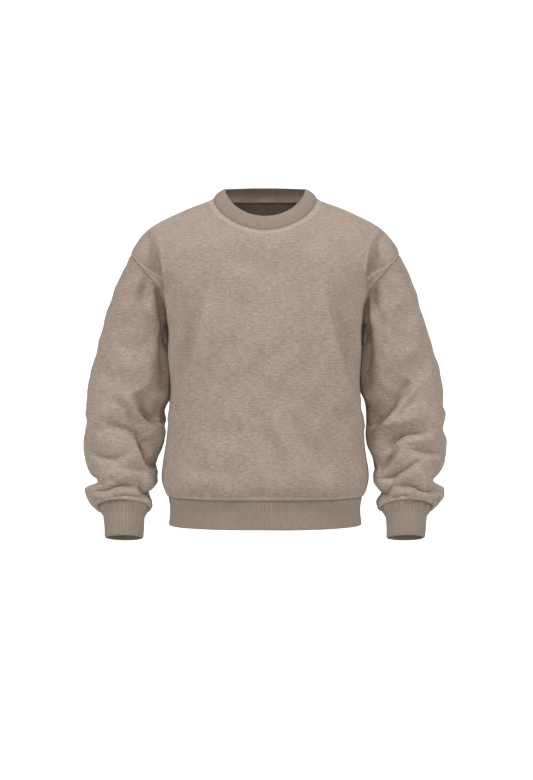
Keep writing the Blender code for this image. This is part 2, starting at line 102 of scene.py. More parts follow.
def table(columns, rows):
    """Named columns, sorted by the first one."""
    values = np.array(sorted(rows), dtype=float)
    return {name: values[:, index] for index, name in enumerate(columns.split())}


# Half width at the side seams, and depth of the centre front and centre back from the side seams.
# Above the armpit the half width is that of the rounded section which the armhole cuts short.
TORSO = table("height half_width front back", (
    (-594, 193, 124, 118), (-580, 201, 133, 127), (-560, 206, 139, 134), (-530, 204, 137, 130),
    (-482, 197, 134, 124), (-400, 191, 134, 122), (-340, 189, 136, 126), (-298, 192, 137, 129),
    (-268, 196, 136, 130), (-233, 204, 133, 130), (-203, 214, 130, 129), (-182, 225, 128, 128),
    (-165, 239, 126, 127), (-148, 256, 123, 125), (-126, 270, 119, 122), (-100, 280, 112, 118),
    (-74, 285, 102, 114), (-43, 288, 80, 111), (0, 290, 62, 108), (40, 290, 58, 106),
))

# The shoulder line from the neck out to the top of the armhole.  Inside the neck it goes on as
# the dome that the neckline is cut from.
SHOULDER = table("out height roll_front roll_back", (
    (0, 45, 150, 90), (52, 34, 150, 90), (103.5, 0, 130, 95), (148, -18, 110, 95),
    (184, -34, 98, 92), (216, -50, 90, 88), (238, -66, 84, 84), (252, -82, 80, 80),
    (262, -98, 76, 76), (270, -115, 72, 72),
))

# The armhole seen from the front: from the armpit up the crease, then out to the shoulder tip.
ARMHOLE = table("order out height", (
    (0, 192, -298), (1, 194.5, -268), (2, 197, -233), (3, 200.5, -203), (4, 208, -181),
    (5, 222, -165), (6, 238, -148), (7, 254, -131), (8, 269, -114),
))

# Sleeve sections below the cap: outer and inner edges, half depth, middle and forward tilt.
SLEEVE = table("height outer inner half_depth middle tilt", (
    (-350, 350.5, 180, 67, 11, 0), (-386, 357, 190, 67, 8, 0), (-418, 358, 198, 66, 4, 1),
    (-450, 358, 202, 64, 0, 3), (-482, 359, 205, 62, -6, 6), (-513, 358, 210, 60, -14, 9),
    (-544, 354, 214, 59, -21, 12), (-574, 350, 219, 58, -30, 15), (-590, 350, 221, 57, -35, 18),
    (-602, 345, 222, 55, -39, 21), (-610, 338, 223.5, 51, -42, 24), (-615, 329, 227, 46, -44, 26),
))

# Cuff sections, from the sleeve's seam to the folded lower edge.
CUFF = table("height outer inner half_depth middle tilt", (
    (-669, 311, 239, 31, -60, 16), (-650, 313.5, 238.5, 33, -54, 19),
    (-629, 316.5, 237.4, 35, -48, 22),
))

# Waistband sections, from the hem seam to the folded lower edge.
HEM = table("height half_width front back", (
    (-648, 191, 122, 118), (-632, 189, 120.5, 116.5), (-616, 188.5, 120, 116),
))

COLLAR_TOP = {"half_width": 81.5, "front": 88, "back": 72, "side_height": 20,
              "front_height": -46, "back_height": 33, "lean": 12}
COLLAR_BOW = 2.4            # how far the collar swells out from a straight line

# Creases: how far each reaches to its upper and lower side (right and left where it runs more up
# than across), depth, how far the upper side hangs over it, and its line.  A negative depth is a
# ridge.  On the body the line is given as seen from the front (out, height).
FRONT_CREASES = (
    (6, 22, 24, 7, ((-228, -80), (-214, -108), (-208, -138), (-205, -162), (-203, -186),
                    (-200, -230))),
    (22, 6, 24, 7, ((228, -80), (214, -108), (208, -138), (205, -162), (203, -186), (200, -230))),
    (30, 8, -11, 0, ((-112, -206), (-123, -263), (-130, -306), (-146, -356), (-190, -440))),
    (8, 30, -12, 0, ((118, -200), (124, -246), (138, -306), (160, -386), (192, -452))),
    (14, 14, 11, 0, ((-134, -216), (-148, -280), (-160, -340), (-184, -410))),
    (14, 14, 11, 0, ((140, -206), (150, -270), (166, -340), (188, -410))),
    (26, 24, 8, 0, ((76, -200), (90, -280), (112, -380), (146, -470), (176, -560))),
    (24, 22, 5, 0, ((-66, -220), (-82, -310), (-104, -400), (-134, -500), (-150, -560))),
    (16, 16, -5, 0, ((0, -400), (30, -470), (62, -520), (88, -580))),
    (14, 14, 4.5, 0, ((34, -410), (70, -476), (104, -530), (126, -580))),
    (14, 14, -4.5, 0, ((74, -420), (108, -470), (142, -530), (160, -580))),
    (20, 16, 4.5, 0, ((-22, -420), (2, -490), (22, -570))),
    (20, 12, -3.5, 0, ((-160, -470), (-90, -496), (-20, -504))),
    (14, 18, 3.5, 0, ((-176, -520), (-110, -538), (-30, -544))),
    (14, 14, -3.5, 0, ((-120, -490), (-96, -540), (-84, -588))),
    (36, 28, 4.5, 0, ((-80, -128), (0, -158), (80, -196))),
    (30, 24, 4, 0, ((-150, -130), (-90, -200), (-20, -250))),
    (16, 14, -2.5, 0, ((150, -60), (178, -92), (200, -120))),
    (14, 16, -2.5, 0, ((-150, -60), (-178, -92), (-200, -120))),
)
BACK_CREASES = (
    (8, 18, 15, 3, ((-230, -76), (-216, -116), (-209, -160), (-202, -230))),
    (18, 8, 15, 3, ((230, -76), (216, -116), (209, -160), (202, -230))),
    (30, 12, -8, 0, ((-96, -200), (-118, -280), (-146, -370), (-184, -446))),
    (12, 30, -8, 0, ((104, -190), (128, -280), (154, -366), (190, -436))),
    (24, 22, 6, 0, ((-140, -220), (-158, -300), (-178, -400))),
    (22, 24, 6, 0, ((146, -214), (164, -300), (182, -390))),
    (28, 24, 6, 0, ((-56, -240), (-82, -350), (-120, -450), (-158, -550))),
    (28, 24, 6, 0, ((60, -236), (88, -340), (120, -440), (160, -540))),
    (26, 20, 6, 0, ((-140, -140), (0, -172), (136, -136))),
    (24, 20, 5, 0, ((-110, -210), (0, -236), (112, -214))),
    (20, 14, -4.5, 0, ((-120, -490), (-30, -516), (70, -506))),
    (16, 20, 4, 0, ((-90, -536), (10, -552), (120, -534))),
    (14, 14, -4, 0, ((20, -470), (6, -530), (-4, -588))),
    (14, 14, 4, 0, ((-60, -480), (-64, -540), (-58, -588))),
)
# On a sleeve the line is given as (degrees round the arm, height): 0 faces front, 90 out,
# 180 back and -90 the body.
RIGHT_SLEEVE_CREASES = (
    (8, 9, -6, 0, ((14, -120), (12, -190), (4, -250))),
    (9, 9, 6, 0, ((33, -130), (28, -200), (18, -256))),
    (12, 12, 5, 0, ((-14, -170), (-22, -230), (-30, -290))),
    (16, 22, 13, 0, ((-40, -200), (-54, -260), (-62, -330), (-66, -396))),
    (30, 24, 6, 0, ((70, -240), (20, -286), (-34, -316))),
    (24, 20, 5, 0, ((110, -326), (50, -350), (10, -384))),
    (16, 12, 7, 1, ((34, -398), (28, -405), (6, -412), (-10, -427), (-28, -440), (-50, -448))),
    (26, 7, 29, 7, ((-12, -386), (-19, -395), (-30, -415), (-45, -430), (-60, -440), (-84, -446))),
    (14, 12, 5, 0, ((-60, -412), (-92, -418), (-150, -430))),
    (9, 9, -5, 0, ((4, -388), (-14, -404), (-34, -426), (-58, -446))),
    (14, 14, -4, 0, ((-50, -452), (-80, -464), (-120, -470))),
    (24, 7, 24, 7, ((34, -463), (20, -457), (-1, -456), (-12, -461), (-25, -468), (-37, -479),
                    (-48, -497), (-57, -513), (-72, -524), (-104, -531), (-134, -532))),
    (16, 16, 9, 0, ((-50, -474), (-60, -494), (-74, -516))),
    (16, 8, 12, 4, ((76, -503), (60, -505), (39, -510), (19, -514), (1, -513), (-12, -506),
                    (-24, -498))),
    (24, 22, 6, 0, ((50, -500), (90, -518), (150, -516))),
    (14, 8, 11, 4, ((30, -527), (19, -530), (-1, -532), (-17, -535), (-34, -537), (-54, -542),
                   (-70, -546))),
    (26, 7, 24, 7, ((34, -556), (50, -557), (70, -560), (95, -563), (140, -566), (190, -560))),
    (16, 7, 15, 6, ((66, -584), (55, -580), (30, -576), (15, -572), (4, -567), (-5, -565),
                    (-21, -568), (-39, -571), (-55, -575))),
    (12, 11, 16, 6, ((-36, -548), (-43, -553), (-52, -564), (-68, -580), (-92, -584),
                     (-130, -584), (-164, -581))),
    (12, 10, -2, 0, ((50, -584), (90, -586), (140, -584))),
    (7, 4, 7, 2, ((14, -586), (-1, -587), (-19, -588), (-34, -590), (-57, -593), (-76, -599))),
    (5, 4, 4, 1, ((70, -594), (50, -600), (30, -602))),
    (16, 11, 15, 7, ((110, -394), (150, -420), (200, -438), (262, -440))),
    (16, 11, 15, 7, ((96, -446), (150, -466), (210, -486), (270, -480))),
    (14, 10, 15, 7, ((130, -512), (174, -524), (230, -520), (270, -538))),
    (10, 8, -5, 0, ((120, -540), (176, -552), (240, -546))),
    (12, 9, 15, 7, ((150, -572), (196, -580), (250, -578))),
    (8, 7, -5, 0, ((110, -430), (160, -446), (224, -458))),
    (26, 22, 7, 0, ((120, -290), (180, -330), (236, -350))),
)
LEFT_SLEEVE_CREASES = (
    (8, 8, -6, 0, ((26, -118), (22, -160), (14, -196))),
    (9, 8, -6, 0, ((-8, -150), (-18, -206), (-26, -256))),
    (10, 10, 6, 0, ((8, -160), (2, -216), (-6, -270))),
    (16, 22, 13, 0, ((-40, -200), (-54, -260), (-62, -330), (-66, -396))),
    (16, 14, 6.5, 0, ((48, -210), (32, -262), (10, -306))),
    (28, 22, 5, 0, ((96, -290), (44, -328), (8, -350))),
    (28, 7, 30, 9, ((18, -360), (10, -369), (1, -379), (-5, -389), (-19, -405), (-30, -420),
                    (-41, -430), (-52, -440), (-68, -448), (-90, -452))),
    (30, 18, 6, 0, ((-60, -404), (-92, -412), (-150, -420))),
    (12, 10, 5, 0.5, ((40, -398), (26, -402), (6, -410), (-8, -422), (-21, -435), (-34, -442))),
    (8, 8, -4, 0, ((25, -436), (-5, -441), (-34, -449), (-54, -453))),
    (18, 7, 18, 6, ((42, -462), (30, -466), (17, -468), (4, -468), (-8, -470), (-21, -475),
                    (-34, -481), (-48, -490), (-66, -498))),
    (24, 7, 22, 7, ((-20, -488), (-32, -500), (-39, -510), (-52, -522), (-68, -532), (-94, -538))),
    (34, 8, 5, 0, ((-70, -534), (-100, -537), (-150, -540))),
    (16, 12, 3.5, 0, ((60, -462), (92, -466), (130, -468))),
    (14, 8, 12, 4, ((-14, -494), (-3, -496), (8, -499), (24, -502), (46, -506), (70, -507))),
    (24, 22, 5, 0, ((50, -504), (90, -518), (150, -516))),
    (8, 8, 3, 0, ((8, -506), (-10, -508), (-24, -512))),
    (14, 7, 16, 6, ((20, -514), (12, -520), (1, -527), (-10, -535), (-23, -540), (-41, -547),
                    (-61, -553), (-84, -556))),
    (24, 7, 21, 7, ((40, -552), (52, -555), (70, -558), (95, -561), (140, -564), (190, -558))),
    (14, 7, 15, 6, ((-46, -566), (-37, -568), (-14, -568), (1, -567), (12, -572), (30, -578),
                    (57, -580), (72, -582))),
    (12, 11, 16, 6, ((-36, -552), (-43, -558), (-52, -569), (-66, -582), (-92, -585),
                     (-130, -585), (-164, -582))),
    (12, 10, -3, 0, ((54, -586), (90, -588), (140, -586))),
    (14, 14, -3.5, 0, ((-74, -270), (-92, -294), (-108, -318))),
    (7, 4, 7, 2, ((-84, -603), (-68, -599), (-45, -593), (-28, -589), (-10, -588), (4, -588))),
    (5, 4, 4, 1, ((60, -604), (76, -598), (90, -596))),
    (16, 11, 15, 7, ((104, -402), (150, -414), (200, -436), (262, -446))),
    (16, 11, 15, 7, ((112, -460), (160, -462), (214, -478), (270, -488))),
    (14, 10, 15, 7, ((126, -514), (172, -512), (226, -530), (270, -532))),
    (10, 8, -5, 0, ((120, -536), (176, -540), (240, -552))),
    (12, 9, 15, 7, ((150, -574), (196, -572), (250, -580))),
    (8, 7, -5, 0, ((110, -430), (164, -436), (224, -456))),
    (26, 22, 7, 0, ((120, -300), (180, -326), (240, -344))),
)
SLEEVE_ARC = 1.25           # sleeve width in millimetres for a degree round the arm
SLEEVE_MIDDLE = 268         # out to the middle of the upper sleeve
GRAIN_LEAN = 0.28           # slope of the cloth's rows there, which lie square to the arm
GRAIN_LOW = -450            # level up from which they lean, and how far above it they lean most
GRAIN_RUN = 150

# ---------------------------------------------------------------- curves and sections


def spline(places, values, at):
    """Natural cubic spline through values (n or n x k) at the given places, read at `at`."""
    count = len(places)
    span = np.diff(places)
    values = np.asarray(values, dtype=float)
    system = np.eye(count)
    load = np.zeros_like(values)
    for row in range(1, count - 1):
        system[row, row - 1:row + 2] = (span[row - 1], 2 * (span[row - 1] + span[row]), span[row])
        rise = (values[row + 1] - values[row]) / span[row]
        load[row] = 6 * (rise - (values[row] - values[row - 1]) / span[row - 1])
    bend = np.linalg.solve(system, load)
    at = np.clip(np.asarray(at, dtype=float), places[0], places[-1])
    cell = np.clip(np.searchsorted(places, at, side="right") - 1, 0, count - 2)
    width = span[cell]
    along = at - places[cell]
    if values.ndim > 1:
        width = width[..., None]
        along = along[..., None]
    slope = (values[cell + 1] - values[cell]) / width
    slope = slope - width * (2 * bend[cell] + bend[cell + 1]) / 6
    cubic = (bend[cell + 1] - bend[cell]) / (6 * width)
    return values[cell] + along * (slope + along * (bend[cell] / 2 + along * cubic))


def read(rows, column, at):
    """One column of a table at a place along its first column."""
    first = next(iter(rows))
    return spline(rows[first], rows[column], at)


def rounded(share, squareness):
    """Depth of a rounded section of half width 1 at a share of that half width."""
    return np.clip(1 - np.abs(share) ** squareness, 0, None) ** (1 / squareness)


def unit(vectors):
    return vectors / np.maximum(np.linalg.norm(vectors, axis=-1, keepdims=True), 1e-9)


def eased(share):
    """A share from 0 to 1 that starts and ends gently."""
    return share * share * (3 - 2 * share)


def read_line(at, places, values):
    """A line's points or directions at places along it."""
    return np.stack([np.interp(at, places, values[:, axis]) for axis in range(3)], axis=1)


def torso_depth(face, out, height):
    """How far the front or back panel lies from the side seams' plane."""
    across = np.abs(out)
    depth = read(TORSO, face, height) * rounded(across / read(TORSO, "half_width", height),
                                                BODY_SQUARENESS)
    fall = read(SHOULDER, "height", across) - height
    share = np.clip(fall / read(SHOULDER, "roll_" + face, across), 0, 1)
    return depth * np.sqrt(1 - (1 - share) ** 2)


def spaced(cells, fine_start, fine_end):
    """Shares from 0 to 1 for a row of cells that get smaller towards a fine end."""
    finest, growth = 0.22, 1.3
    step = np.ones(cells)
    small = np.minimum(1, finest * growth ** np.arange(cells))
    if fine_start:
        step = np.minimum(step, small)
    if fine_end:
        step = np.minimum(step, small[::-1])
    return np.concatenate(([0.0], np.cumsum(step))) / step.sum()


def spread(points, shares):
    """The same line, cut at the given shares of its length."""
    steps = np.linalg.norm(np.diff(points, axis=0), axis=1)
    reach = np.concatenate(([0.0], np.cumsum(steps)))
    return read_line(shares * reach[-1], reach, points)


def arc_length(points, axis):
    """Length along a grid's rows or columns, from its first point."""
    step = np.linalg.norm(np.diff(points, axis=axis), axis=-1)
    start = np.zeros_like(np.take(step, [0], axis=axis))
    return np.concatenate((start, np.cumsum(step, axis=axis)), axis=axis)


# ---------------------------------------------------------------- the panels' plain forms


def neckline_height(face, turn):
    """Height of the neckline at an angle from the centre (0) to the shoulder (half pi)."""
    centre = -FRONT_NECK_DROP if face == "front" else BACK_NECK_RISE
    return centre * np.cos(turn) ** 1.2


def half_panel(face):
    """The wearer's left half of a body panel: rows from hem to shoulder, columns out from the
    centre, on the fabric's outer face."""
    sign = -1 if face == "front" else 1
    centre_top = neckline_height(face, 0.0)
    ease = np.sin(np.linspace(0, math.pi / 2, FINE))
    across = np.unique(np.concatenate((NECK_SHARE * ease, NECK_SHARE + (1 - NECK_SHARE) * ease)))
    is_neck = across <= NECK_SHARE
    turn = np.clip(across / NECK_SHARE, 0, 1) * math.pi / 2
    out_top = np.where(is_neck, NECK_HALF_WIDTH * np.sin(turn),
                       NECK_HALF_WIDTH + (across - NECK_SHARE) / (1 - NECK_SHARE)
                       * (ARMHOLE["out"][-1] - NECK_HALF_WIDTH))
    height_top = np.where(is_neck, neckline_height(face, turn),
                          read(SHOULDER, "height", out_top))
    neck_shares = spaced(NECK_CELLS, False, False)
    shoulder_shares = spaced(SHOULDER_CELLS, False, True)
    split = np.count_nonzero(is_neck)

    def row(edge_out, edge_height, centre_height, lift):
        out = edge_out * across + lift * (out_top - ARMHOLE["out"][-1] * across)
        sag = across ** 2
        height = centre_height + (edge_height - centre_height) * sag
        flat_top = centre_top + (ARMHOLE["height"][-1] - centre_top) * sag
        height = height + lift * (height_top - flat_top)
        points = np.stack((out, sign * torso_depth(face, out, height), height), axis=1)
        neck = spread(points[:split], neck_shares)
        return np.concatenate((neck, spread(points[split - 1:], shoulder_shares)[1:]))

    levels = HEM_SEAM_HEIGHT + (ARMPIT_HEIGHT - HEM_SEAM_HEIGHT) * spaced(SIDE_CELLS, True, False)
    lower = [row(read(TORSO, "half_width", height), height, height, 0.0) for height in levels]
    order = ARMHOLE["order"] / ARMHOLE["order"][-1]
    above = []
    for share in ease:
        edge_out = spline(order, ARMHOLE["out"], share)
        edge_height = spline(order, ARMHOLE["height"], share)
        centre = ARMPIT_HEIGHT + share * (centre_top - ARMPIT_HEIGHT)
        above.append(row(edge_out, edge_height, centre, share ** LIFT))
    above = np.array(above)
    shares = spaced(ARMHOLE_CELLS, False, True)
    above = np.stack([spread(above[:, column], shares) for column in range(above.shape[1])],
                     axis=1)
    return np.concatenate((np.array(lower), above[1:]))


def mirrored(points):
    return points * np.array((-1.0, 1.0, 1.0))


def body_panel(face):
    """A whole body panel: rows from hem to shoulder, columns from the wearer's right to left."""
    half = half_panel(face)
    return np.concatenate((mirrored(half[:, :0:-1]), half), axis=1)


def section(rows, height, turn):
    """A point of a sleeve or cuff section: turn 0 faces front, 90 degrees faces out."""
    outer = read(rows, "outer", height)
    inner = read(rows, "inner", height)
    deep = read(rows, "half_depth", height)
    tilt = np.radians(read(rows, "tilt", height))
    power = 2 / SLEEVE_SQUARENESS
    side = np.sign(np.sin(turn)) * np.abs(np.sin(turn)) ** power
    fore = np.sign(np.cos(turn)) * np.abs(np.cos(turn)) ** power
    return np.stack(((outer + inner) / 2 + (outer - inner) / 2 * side,
                     read(rows, "middle", height) - deep * np.cos(tilt) * fore,
                     height + deep * np.sin(tilt) * fore), axis=-1)


CAP_LEAVE_OUT = (0.06, 0.36)    # outward lean of the sleeve where it leaves the armhole
CAP_LEAVE_FORE = 0.22
CAP_LEAVE_DOWN = 0.9
CAP_ARRIVE_OUT = 0.25       # and where it meets its plain sections


def sleeve_form(front, back):
    """A sleeve on the wearer's left: rows from the armhole to the cuff seam, columns round the
    arm from the armpit by the front, and back again.  Also the turn of each column."""
    rise = SIDE_CELLS
    loop = np.concatenate((front[rise:, -1], back[-2:rise:-1, -1]))
    ring = np.concatenate((loop, loop[:1]))
    share = arc_length(ring, 0)[:-1] / arc_length(ring, 0)[-1]
    top = share[len(front) - 1 - rise]
    half = np.where(share <= top, share / top / 2, 0.5 + (share - top) / (1 - top) / 2)
    turn = 2 * math.pi * half - math.pi / 2
    end = section(SLEEVE, np.full(len(loop), float(CAP_END_HEIGHT)), turn)
    outward = (1 + np.sin(turn)) / 2
    leave = unit(np.stack((CAP_LEAVE_OUT[0] + CAP_LEAVE_OUT[1] * outward,
                           -CAP_LEAVE_FORE * np.cos(turn),
                           np.full(len(loop), -CAP_LEAVE_DOWN)), axis=1))
    arrive = unit(np.stack((CAP_ARRIVE_OUT * outward, 0 * turn, -np.ones(len(loop))), axis=1))
    reach = np.linalg.norm(end - loop, axis=1)[:, None] / 3
    second = loop + leave * reach
    third = end - arrive * reach
    rows = []
    for share in spaced(CAP_CELLS, True, False):
        rest = 1 - share
        rows.append(rest ** 3 * loop + 3 * rest ** 2 * share * second
                    + 3 * rest * share ** 2 * third + share ** 3 * end)
    levels = CAP_END_HEIGHT + (CUFF_SEAM_HEIGHT - CAP_END_HEIGHT) * spaced(LOWER_CELLS, False, True)
    rows += [section(SLEEVE, np.full(len(loop), level), turn) for level in levels[1:]]
    return np.array(rows), turn


def clear_of_body(grid):
    """A sleeve's grid kept just outside the body's side below the armpit."""
    for face, side in (("front", grid[..., 1] <= 0), ("back", grid[..., 1] > 0)):
        depth = read(TORSO, face, grid[..., 2])
        width = read(TORSO, "half_width", grid[..., 2])
        body = width * rounded(grid[..., 1] / depth, BODY_SQUARENESS) + CONTACT_GAP
        near = side & (grid[..., 2] < CONTACT_TOP)
        near[0] = False
        grid[..., 0] = np.where(near, np.maximum(grid[..., 0], body), grid[..., 0])
    return grid


def face_normals(grid, closed):
    """Mean normals at each point of a grid."""
    ring = np.concatenate((grid, grid[:, :1]), axis=1) if closed else grid
    cell = unit(np.cross(ring[1:, 1:] - ring[:-1, :-1], ring[1:, :-1] - ring[:-1, 1:]))
    total = np.zeros_like(ring)
    for down in (slice(0, -1), slice(1, None)):
        for over in (slice(0, -1), slice(1, None)):
            total[down, over] += cell
    if closed:
        total[:, 0] += total[:, -1]
        total = total[:, :-1]
    return unit(total)


def edge_places(shape, closed):
    """Rows and columns of a grid's edge points."""
    on_edge = np.zeros(shape, dtype=bool)
    on_edge[[0, -1]] = True
    if not closed:
        on_edge[:, [0, -1]] = True
    return np.nonzero(on_edge)


def seam_ways(grids):
    """Outward directions at the edges of several grids, shared where the edges meet in a seam.
    The two body panels count as one side of a seam and the sleeve as the other."""
    sides = {}
    normals = {}
    for name, (grid, closed, way) in grids.items():
        normals[name] = face_normals(grid, closed) * way
        for row, column in zip(*edge_places(grid.shape[:2], closed)):
            key = tuple(np.round(grid[row, column], 2) + 0.0)
            pair = sides.setdefault(key, {True: np.zeros(3), False: np.zeros(3)})
            pair[closed] += normals[name][row, column]
    shared = {}
    for name, (grid, closed, way) in grids.items():
        shared[name] = normals[name].copy()
        for row, column in zip(*edge_places(grid.shape[:2], closed)):
            pair = sides[tuple(np.round(grid[row, column], 2) + 0.0)]
            shared[name][row, column] = unit(sum(unit(side) for side in pair.values()))
    return shared


SEAM_LEAD = 9.0             # how far from a seam its shared directions are felt


def led_by_seams(normal, shared, across, along, closed):
    """A grid's outward directions, turned near its edges to those shared with its neighbours."""
    turned = normal.copy()
    edges = [(along, np.s_[:1]), (along[-1:] - along, np.s_[-1:])]
    if not closed:
        edges = [(across - across[:, :1], np.s_[:, :1]),
                 (across[:, -1:] - across, np.s_[:, -1:])] + edges
    for gap, edge in edges:
        share = np.exp(-(gap / SEAM_LEAD) ** 2)[..., None]
        turned = turned + share * (shared[edge] - turned[edge])
    return unit(turned)


def trimmed(grid, closed):
    """A grid with its edges drawn back from the seams by half the gap left there."""
    moved = grid.copy()
    moved[0] += SEAM_SLIT / 2 * unit(grid[1] - grid[0])
    moved[-1] += SEAM_SLIT / 2 * unit(grid[-2] - grid[-1])
    if not closed:
        moved[:, 0] += SEAM_SLIT / 2 * unit(grid[:, 1] - grid[:, 0])
        moved[:, -1] += SEAM_SLIT / 2 * unit(grid[:, -2] - grid[:, -1])
    return moved


# ---------------------------------------------------------------- creases, gathers and seams


UPPER_PUFF = 0.32           # rise beside a crease, as a share of its depth
LOWER_PUFF = 0.16
PUFF_PLACE = 1.7            # where it rises most and how widely, as shares of the crease's reach
PUFF_WIDTH = 0.8
SAG_PLACE = 0.7             # where the upper side hangs over most, and how widely
SAG_WIDTH = 0.5
CREASE_END = 3.4            # distance at which nothing of a crease is felt, in reaches
CREASE_SAMPLES = 64
CREASE_TAPER = 0.7          # powers that shape its fall to both ends, and its sides
CREASE_SIDES = 1.6


def crease_field(across, height, crease):
    """How deep a crease pulls the cloth in, and how far the cloth beside it slides along itself
    (across and up).  The cloth puffs up on both sides of its valley, most on the upper one."""
    upper, lower, depth, hang, points = crease
    points = np.array(points, dtype=float)
    steps = np.concatenate(([0.0], np.cumsum(np.hypot(*np.diff(points, axis=0).T))))
    share = np.linspace(0, 1, CREASE_SAMPLES)
    line = spline(steps / steps[-1], points, share)
    margin = CREASE_END * max(upper, lower)
    near = ((across > line[:, 0].min() - margin) & (across < line[:, 0].max() + margin)
            & (height > line[:, 1].min() - margin) & (height < line[:, 1].max() + margin))
    pull = np.zeros(across.shape)
    slide = np.zeros((2, *across.shape))
    if not near.any():
        return pull, slide
    side = across[near][:, None] - line[:, 0]
    rise = height[near][:, None] - line[:, 1]
    gap = np.hypot(side, rise)
    nearest = np.argmin(gap, axis=1)
    pick = np.arange(len(nearest))
    gap, side, rise = gap[pick, nearest], side[pick, nearest], rise[pick, nearest]
    run, climb = np.abs(points[-1] - points[0])
    above = rise > 0 if run >= climb else side > 0
    taper = np.sin(np.pi * np.clip(share[nearest], 0.03, 0.97)) ** CREASE_TAPER
    ratio = gap / np.where(above, upper, lower)
    puff = np.where(above, UPPER_PUFF, LOWER_PUFF) * np.exp(-((ratio - PUFF_PLACE)
                                                              / PUFF_WIDTH) ** 2)
    pull[near] = depth * taper * (np.exp(-ratio ** CREASE_SIDES) - puff)
    signed = np.where(above, gap, -gap)
    sag = hang * taper * np.exp(-((signed - SAG_PLACE * upper) / (SAG_WIDTH * upper)) ** 2)
    away = np.maximum(gap, 1e-6)
    slide[0][near] = -np.where(above, side / away, 0) * sag
    slide[1][near] = -np.where(above, rise / away, 0) * sag
    return pull, slide


def creased(grid, across, closed, way, creases, hold, laps=(0,)):
    """A grid with its creases pulled in and hung over."""
    normal = face_normals(grid, closed) * way
    over = unit(np.gradient(grid, axis=1))
    up = unit(np.gradient(grid, axis=0))
    up = up * np.sign(np.sum(up[..., 2:], axis=-1, keepdims=True))
    pull = np.zeros(grid.shape[:2])
    slide = np.zeros((2, *grid.shape[:2]))
    for crease in creases:
        for lap in laps:
            one_pull, one_slide = crease_field(across + lap, grid[..., 2], crease)
            pull += one_pull
            slide += one_slide
    moved = grid - normal * (hold * pull)[..., None]
    return moved + over * (hold * slide[0])[..., None] + up * (hold * slide[1])[..., None]


def waves(places, lengths, seed):
    """Smooth uneven waves of about unit height over points of any dimension."""
    random = np.random.default_rng(seed)
    total = np.zeros(places.shape[:-1])
    for length in lengths:
        for _ in range(3):
            way = random.normal(size=places.shape[-1])
            way /= np.linalg.norm(way)
            total += np.sin(places @ way * 2 * math.pi / length + random.uniform(0, 2 * math.pi))
    return total / math.sqrt(1.5 * len(lengths))


def distance_to(grid, line):
    """Straight distance from each point of a grid to a line."""
    share = np.linspace(0, len(line) - 1, 4 * len(line))
    nearest = np.full(grid.shape[:2], FAR)
    for point in read_line(share, np.arange(len(line)), line):
        nearest = np.minimum(nearest, np.linalg.norm(grid - point, axis=-1))
    return nearest


def gathers(along, gap, depth, fade, seed):
    """Puckers that run up from a gathered seam: `along` the seam, and `gap` from it."""
    puckers = waves(along[..., None], (13, 19, 27, 41), seed)
    return depth * puckers * np.exp(-(gap / fade) ** 1.5)


BODY_GATHERS = (1.2, 34)    # depth of the puckers at a gathered seam, and how far they fade
SLEEVE_GATHERS = (1.0, 26)
GATHER_START = 3            # they are full this far from the seam
SIDE_START = 8              # and unevenness this far from the side seam
BODY_WAVES = ((1.1, (150, 95, 60)), (0.22, (34, 23)))       # heights, and lengths of the waves
SLEEVE_WAVES = ((1.1, (120, 75, 48)), (0.3, (30, 21)))
BODY_SOFT = (14, 16, 26)    # creases fade this far from the side, hem and upper seams
SLEEVE_SOFT = (24, 12)      # and from the armhole and the cuff
UNDER_SEAM = (0.8, 2.0)     # depth and width of the underarm seam's groove
SEAM_TUCK = 1.4             # depth of the groove at a seam, from one side
SEAM_ROLL = 2.4             # width of the groove's rounded edge
SEAM_WELT = 0.5             # rise of the cloth over the seam allowance
SEAM_WELT_PLACE = 5.5
SEAM_WELT_WIDTH = 3.2
ARMHOLE_FOLD = 24.0         # depth of the fold that hides the lower armhole seam
BODY_LIP = 8.0              # width of its rounded lip on the body, and on the sleeve
SLEEVE_LIP = 17.0
ARMHOLE_FOLD_TOP = -166     # level where it starts, and how far below that it is full
ARMHOLE_FOLD_RUN = 34
ARMPIT_CLEAR = 4            # how far above the armpit it is gone, and from where it fades
ARMPIT_RUN = 26


def uneven(grid, sizes, seed, hold):
    """Large and then small unevenness of the cloth, as a pull inwards."""
    return [height * waves(grid, lengths, seed + 20 * step) * hold
            for step, (height, lengths) in enumerate(sizes, 1)]


def seam_profile(gap):
    """How deep the cloth is pulled in at a distance from a sewn seam."""
    return (SEAM_TUCK * np.exp(-(gap / SEAM_ROLL) ** 2)
            - SEAM_WELT * np.exp(-((gap - SEAM_WELT_PLACE) / SEAM_WELT_WIDTH) ** 2))


def armhole_fold(gap, height, lip):
    """How deep the lower armhole seam lies in the fold between body and sleeve."""
    deep = np.clip((ARMHOLE_FOLD_TOP - height) / ARMHOLE_FOLD_RUN, 0, 1)
    deep = deep * np.clip((height - ARMPIT_HEIGHT - ARMPIT_CLEAR) / ARMPIT_RUN, 0, 1)
    return ARMHOLE_FOLD * eased(deep) * np.exp(-(gap / lip) ** 1.5)


# ---------------------------------------------------------------- meshes


def quads_of(rows, columns, close_rows, close_columns):
    """Corner places (row, column) of each cell of a grid, counted without wrapping."""
    row, column = np.meshgrid(np.arange(rows - 1 + close_rows),
                              np.arange(columns - 1 + close_columns), indexing="ij")
    row, column = row.ravel(), column.ravel()
    return np.stack((np.stack((row, row, row + 1, row + 1), axis=1),
                     np.stack((column, column + 1, column + 1, column), axis=1)), axis=2)


def placed(name, data):
    """A new object in the scene, at the origin."""
    piece = bpy.data.objects.new(name, data)
    bpy.context.scene.collection.objects.link(piece)
    return piece


